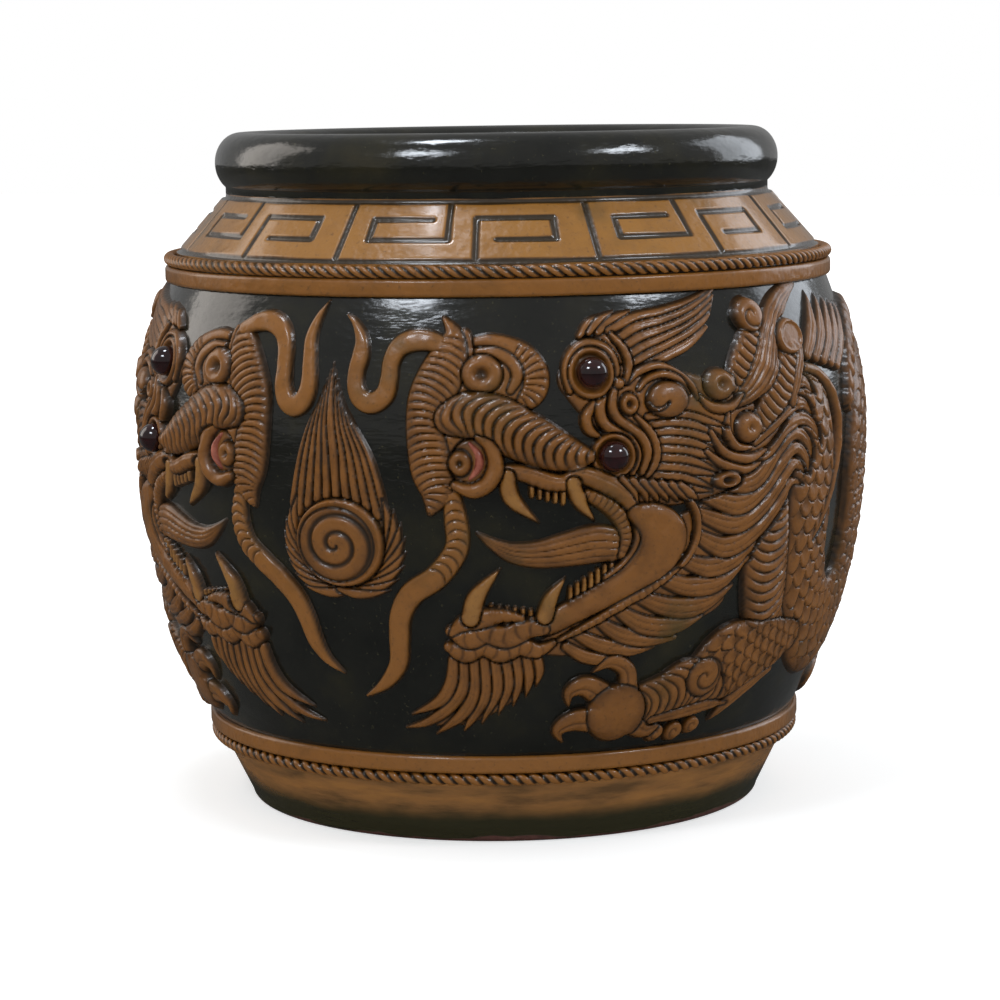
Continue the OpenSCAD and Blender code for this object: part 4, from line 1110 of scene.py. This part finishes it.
def mouth(clay):
    """Jaws, tongue and teeth."""
    clay.piece("beard")
    clay.stroke([(14.2, 14.2, 0.9), (12.2, 13.2, 1.8), (10.2, 12.4, 2.2), (8.4, 11.2, 1.6),
                 (6.8, 10.3, 0.8)], 3.6)
    for line in (
        [(14.7, 15.2, 0.45), (15, 13.9, 0.42), (14.8, 12.7, 0.1)],
        [(13.9, 15.1, 0.48), (14.2, 13.4, 0.46), (14, 11.9, 0.1)],
        [(13.1, 15, 0.5), (13.3, 13, 0.5), (13, 11.2, 0.1)],
        [(12.3, 14.9, 0.5), (12.5, 12.7, 0.54), (11.8, 10.5, 0.1)],
        [(11.5, 14.8, 0.5), (11.6, 12.4, 0.58), (10.4, 9.8, 0.1)],
        [(10.7, 14.8, 0.5), (10.7, 12.2, 0.58), (9.8, 10.5, 0.46), (8.9, 9.2, 0.1)],
        [(9.9, 14.8, 0.5), (9.8, 12.2, 0.58), (8.7, 10.4, 0.5), (6.5, 8.9, 0.1)],
        [(9.1, 14.8, 0.5), (8.9, 12.5, 0.58), (7.6, 10.9, 0.52), (5.8, 9.8, 0.36), (3.9, 9.3, 0.1)],
        [(8.4, 14.8, 0.45), (8.1, 13, 0.55), (7, 11.5, 0.48), (4.6, 10.4, 0.1)],
    ):
        clay.stroke(line, 6, lines([0.2], 0.8, 0.7))
    clay.piece("teeth")
    for start, stop, count, way in (
        ((11.4, 18.5), (14.3, 18.1), 6, 1), ((17.2, 19.7), (20.2, 21.6), 7, 1),
        ((14.4, 27.4), (16.6, 26.8), 5, -1), ((18.9, 26.9), (21, 25.2), 5, -1),
    ):
        for share in np.linspace(0, 1, count):
            column, row = (a + (b - a) * share for a, b in zip(start, stop))
            clay.stroke([(column, row - 0.6 * way, 0.28), (column, row + 0.4 * way, 0.2)], 6.4)
    clay.piece("tongue")
    clay.stroke([(21.2, 23.1, 1.1), (19, 23.3, 1.45), (17, 23, 1.3), (15, 22.7, 1.05),
                 (13.2, 22.8, 0.8), (11.8, 23.4, 0.48), (10.5, 24.3, 0.12)], 7,
                lines([-0.6, -0.2, 0.2, 0.6], 1.3, 0.7), soft=8)
    clay.piece("upper_jaw")
    clay.stroke([(18.4, 26.9, 0.5), (19.8, 26.1, 0.6), (20.8, 25, 0.6), (21.2, 23.8, 0.5),
                 (20.9, 22.4, 0.35)], 7.4, ribs(4.6, 1.5))
    clay.stroke([(12.3, 28.8, 0.5), (14, 28.6, 0.7), (15.6, 28, 0.68), (16.7, 27.9, 0.62),
                 (17.7, 28.4, 0.72), (18.8, 28.1, 0.74), (20.3, 27.3, 0.74), (21.5, 26.2, 0.62),
                 (22, 24.8, 0.45), (22.1, 23.4, 0.4), (21.4, 22, 0.38), (19.8, 20.8, 0.3)],
                10, lines([0.3], 0.9, 0.7))
    clay.piece("lower_jaw")
    clay.stroke([(21.9, 25.4, 0.7), (23.3, 24.7, 1.4), (24.1, 23.5, 1.9), (23.4, 21.9, 1.7),
                 (21.6, 20.4, 1.25), (19.4, 19.3, 1.05), (17.3, 18.3, 0.96), (15.2, 17.4, 0.9),
                 (12.6, 17.2, 0.6)], 10.4, soft=9)
    clay.stroke([(24.8, 26.7, 0.15), (26.2, 26, 0.26), (26.8, 24.6, 0.3), (26.7, 23, 0.3),
                 (25.8, 21.5, 0.28), (24.2, 20.4, 0.2)], 8.4)
    clay.stroke([(16.4, 16.2, 0.2), (18.6, 17.3, 0.34), (21, 18.6, 0.38), (23.4, 19.8, 0.36),
                 (25.4, 21, 0.2)], 8, ribs(6, 1.2))
    clay.piece("beard")
    for i in range(7):
        clay.stroke([
            (20.8 + 0.75 * i, 28 - 0.12 * i, 0.3),
            (21.6 + 0.75 * i, 27.2 - 0.1 * i, 0.36),
            (22 + 0.8 * i, 26.2 - 0.02 * i, 0.1),
        ], 8.6, lines([0.2], 0.7, 0.6))
    clay.piece("lower_jaw")
    clay.stroke([(16, 16, 0.3), (14.8, 15.5, 0.6), (13.4, 15.9, 0.8), (12, 15.4, 0.8),
                 (10.7, 15.9, 0.75), (9.4, 15.4, 0.8), (8.2, 15.8, 0.5)], 9.4, ribs(9, 1.2, 0.4))
    clay.stroke([(15.2, 17.1, 0.5), (13.8, 17.1, 0.8), (12.4, 16.6, 0.85), (11, 17, 0.85),
                 (9.7, 16.6, 0.9), (8.4, 17, 0.5)], 10.4, ribs(10, 1.2, -0.4))
    clay.stroke([(13.6, 18, 0.3), (12.2, 18.2, 0.55), (10.6, 18, 0.75), (9.2, 17.6, 0.6),
                 (8.4, 16.8, 0.2)], 10)
    clay.piece("teeth")
    for line in (
        [(9.9, 18.1, 0.75), (10.4, 19.7, 0.66), (12.1, 21.7, 0.06)],
        [(15.3, 18.1, 0.65), (15.8, 19.5, 0.55), (16.8, 20.9, 0.06)],
        [(12.7, 28.4, 0.6), (13, 26.8, 0.62), (14.9, 25, 0.06)],
        [(17.3, 27.8, 0.6), (17.8, 26.4, 0.52), (18.9, 25, 0.06)],
    ):
        clay.stroke(line, 7.8)


def nose(clay):
    clay.piece("nose_leaf")
    clay.boss(12.2, 35.7, 3, 2.4, 6)
    clay.stroke([(9.6, 37.8, 0.3), (11.4, 38, 0.5), (13, 37.6, 0.66), (14.1, 36.9, 0.85),
                 (14.8, 35.8, 0.98), (14.8, 34.7, 0.95), (14.3, 33.9, 0.8), (13.7, 33.6, 0.35)], 8,
                ribs(5, 1.8, 0.2, since=0.38))
    clay.stroke([(10.2, 37.2, 0.3), (11.8, 37.2, 0.42), (13, 36.6, 0.46), (13.5, 35.6, 0.46),
                 (13, 34.5, 0.3)], 8)
    clay.piece("nose_frill")
    clay.stroke([(9.6, 38.2, 0.7), (9.4, 35.6, 1.2), (8.9, 32.4, 1.3), (9, 30, 1.2),
                 (8.8, 27.6, 0.6)], 5.4)
    clay.stroke([(8.1, 39.6, 0.15), (8.9, 38.4, 0.7), (8.6, 36.9, 1.4), (7.9, 35.3, 1.7),
                 (7.2, 33.8, 1.6), (6.9, 32, 1.4), (7.1, 30.4, 1.5), (7.4, 28.8, 1.55),
                 (7.7, 27.4, 1.2), (7.2, 25.8, 0.3)], 7.4, ribs(5.4, 1.9, 0.3, since=0.08), soft=7,
                lobes=(5.4, 0.2))
    clay.piece("nostrils")
    clay.boss(11, 35.7, 1.5, 1.42, 10, ring(0.6, 0.42))
    clay.piece("snout")
    clay.stroke([(8.9, 32.6, 1.25), (10.2, 32.8, 1.7), (11.8, 32.3, 1.95), (13.4, 31.5, 1.9),
                 (15, 30.7, 1.75), (16.6, 30, 1.35), (18.1, 29.7, 0.75)], 13,
                ribs(7.6, 2.6, 0.75, 3), soft=11)
    clay.piece("nostrils")
    clay.boss(10.2, 29.3, 1.5, 1.9, 5)
    clay.boss(9.4, 29.4, 0.85, 1, 9, ring(0.52, 0.5))
    clay.stroke([(9.1, 27.8, 0.4), (10.3, 27.4, 0.6), (11.4, 28, 0.64), (11.9, 29.3, 0.62),
                 (11.5, 30.6, 0.5), (10.7, 31.2, 0.3)], 11)


def nostril_wash(clay):
    clay.piece("nostril_wash")
    clay.stroke([(10.1, 30.8, 0.2), (10.7, 30, 0.36), (10.7, 29.1, 0.38), (10.1, 28.3, 0.2)], 8.5)


SLOTS = {"eyes": "eye_glaze", "teeth": "tooth_glaze"}


def show(found, side, finishes):
    """Objects of laid pieces, on the right as they are and on the left as their mirror."""
    for piece, clay in found.items():
        name = side + piece
        material = finishes.get(piece, RELIEF)
        parts = mirrored([clay]) if side == "left_" else [clay]
        nodes = [] if piece == "nostril_wash" else [name]
        place(mesh_object(name, parts, material, 70), SLOTS.get(piece, "relief_glaze"), *nodes)


def relief():
    """Lays the pearl and one dragon, and shows the dragon on both sides of the pearl."""
    rows = np.arange(7.3, 41.2, 0.105)
    middle = Relief(np.arange(-6.2, 6.6, 0.1), rows)
    pearl(middle)
    show(middle.parts(), "", {})
    near, far = np.arange(2.2, 45, 0.1), np.arange(45, 90, 0.18)
    dragon = Relief(np.concatenate([near, far]), rows)
    for lay_part in (hind_part, neck, foreleg, head, eyes, mouth, nose):
        lay_part(dragon)
    for side, whiskers in (("right_", right_whiskers), ("left_", left_whiskers)):
        show(dragon.parts(), side, {"teeth": PALE})
        strips = Relief(np.arange(0.4, 10.4, 0.1), rows)
        strips.piece("whiskers")
        whiskers(strips)
        show(strips.parts(), side, {"whiskers": BAND})
        wash = Relief(np.arange(9.6, 11.8, 0.1), np.arange(27, 31.6, 0.1))
        nostril_wash(wash)
        show(wash.parts(), side, {"nostril_wash": RED})
        balls = [eyeball(18.85, 35.6, 11.5 * MM, 0.55), eyeball(20.2, 29.65, 11.2 * MM, 0.55)]
        balls = mirrored(balls) if side == "left_" else balls
        name = side + "eyes"
        place(mesh_object(name, balls, EYE), "eye_glaze", name)


floor_disc()
foot_wall()
belly_wall("belly_lower_wall", WALL_LOW_Z, BELLY_Z)
belly_wall("belly_upper_wall", BELLY_Z, WALL_TOP_Z)
shoulder_wall()
rim_roll()
plain_band("upper_plain_band", LIP_R, *HIGH_BAND)
plain_band("lower_plain_band", FOOT_TOP_R, *LOW_BAND)
pressed = rope_tree()
rope_band(pressed, "upper_rope_band", HIGH_ROPE, 182, 3)
rope_band(pressed, "lower_rope_band", LOW_ROPE, 150, 2)
relief()

# The scene round the jar

CAMERA_TURN = math.radians(25)
CAMERA_TILT = math.radians(7.67)
CAMERA_ROLL = math.radians(-0.8)
CAMERA_DISTANCE = 2.464
AIM_Z = 0.23
LENS = 110.9


def camera():
    made = bpy.data.cameras.new("camera")
    made.lens = LENS
    made.shift_x = -0.001
    thing = bpy.data.objects.new("camera", made)
    bpy.context.scene.collection.objects.link(thing)
    flat = CAMERA_DISTANCE * math.cos(CAMERA_TILT)
    thing.location = (flat * math.sin(CAMERA_TURN), -flat * math.cos(CAMERA_TURN),
                      AIM_Z + CAMERA_DISTANCE * math.sin(CAMERA_TILT))
    level = Euler((math.pi / 2 - CAMERA_TILT, 0, CAMERA_TURN)).to_matrix()
    thing.rotation_euler = (level @ Matrix.Rotation(CAMERA_ROLL, 3, "Z")).to_euler()
    bpy.context.scene.camera = thing


def lamp(name, power, size, spot, aim, colour):
    """A soft box that faces a point. Its place turns with the camera's side of the jar."""
    made = bpy.data.lights.new(name, "AREA")
    made.color = colour
    made.shape = "RECTANGLE"
    made.size, made.size_y = size
    made.energy = power
    thing = bpy.data.objects.new(name, made)
    bpy.context.scene.collection.objects.link(thing)
    turn = Matrix.Rotation(CAMERA_TURN, 3, "Z")
    thing.location = turn @ Vector(spot)
    way = turn @ Vector(aim) - thing.location
    thing.rotation_euler = way.to_track_quat("-Z", "Y").to_euler()


def floor():
    """Pale studio floor that runs off into the white backdrop, and stays dim where it is
    mirrored in the glaze."""
    size = 12
    mesh = bpy.data.meshes.new("studio_floor")
    mesh.from_pydata([(-size, -size, 0), (size, -size, 0), (size, size, 0), (-size, size, 0)],
                     [], [(0, 1, 2, 3)])
    material, tree = new_material("pale studio floor")
    place_at = add(tree, "ShaderNodeTexCoord").outputs["Object"]
    away = add(tree, "ShaderNodeVectorMath", {"operation": "LENGTH"}, in_0=place_at).outputs["Value"]
    glow = add(tree, "ShaderNodeMapRange", in_0=away, in_1=0.35, in_2=1.3, in_3=0.5, in_4=1.0)
    path = add(tree, "ShaderNodeLightPath").outputs
    seen = add(tree, "ShaderNodeMath", {"operation": "MULTIPLY"}, in_0=path["Is Camera Ray"],
               in_1=glow.outputs[0])
    pale = ramp(tree, noise(tree, place_at, 400, 2.0), [(0.3, "#e6e6e4"), (0.7, "#ececea")])
    colour = mixed(tree, path["Is Glossy Ray"], pale, "#4a4a48")
    shader = add(tree, "ShaderNodeBsdfPrincipled", Base_Color=colour, Roughness=0.8,
                 Emission_Color=(1, 1, 1, 1), Emission_Strength=seen.outputs[0])
    add(tree, "ShaderNodeOutputMaterial", Surface=shader.outputs[0])
    mesh.materials.append(material)
    thing = bpy.data.objects.new("studio_floor", mesh)
    bpy.context.scene.collection.objects.link(thing)


def world():
    """Soft light from all round. The backdrop is white where it is seen, and dim where
    it is mirrored in the glaze, as in a room lit by its windows."""
    made = bpy.data.worlds.new("studio")
    bpy.context.scene.world = made
    made.use_nodes = True
    tree = made.node_tree
    tree.nodes.clear()
    path = add(tree, "ShaderNodeLightPath").outputs
    seen = add(tree, "ShaderNodeMapRange", in_0=path["Is Camera Ray"], in_3=0.55, in_4=1.0)
    mirrored_in = add(tree, "ShaderNodeMath", {"operation": "MULTIPLY_ADD"},
                      in_0=path["Is Glossy Ray"], in_1=-0.3, in_2=seen.outputs[0])
    shader = add(tree, "ShaderNodeBackground", Color=(1, 1, 1, 1), Strength=mirrored_in.outputs[0])
    add(tree, "ShaderNodeOutputWorld", Surface=shader.outputs[0])


camera()
world()
floor()
WINDOW = (0.86, 0.92, 1.0)
lamp("left_window", 11, (0.6, 0.35), (-0.95, -1.55, 1.75), (0, 0, 0.35), WINDOW)
lamp("right_window", 10, (0.6, 0.35), (1.5, -1.05, 1.7), (0, 0, 0.35), WINDOW)
lamp("skylight", 11, (0.35, 0.45), (-0.44, -0.22, 2.4), (0, 0, 0.4), WINDOW)
lamp("far_left_window", 9, (1.2, 1.6), (-2.0, 0.7, 1.2), (0, 0, 0.3), (1.0, 0.93, 0.86))
lamp("far_right_window", 13, (1.3, 1.6), (1.9, 0.9, 1.1), (0, 0, 0.3), WINDOW)
bpy.context.scene.view_settings.view_transform = "Standard"
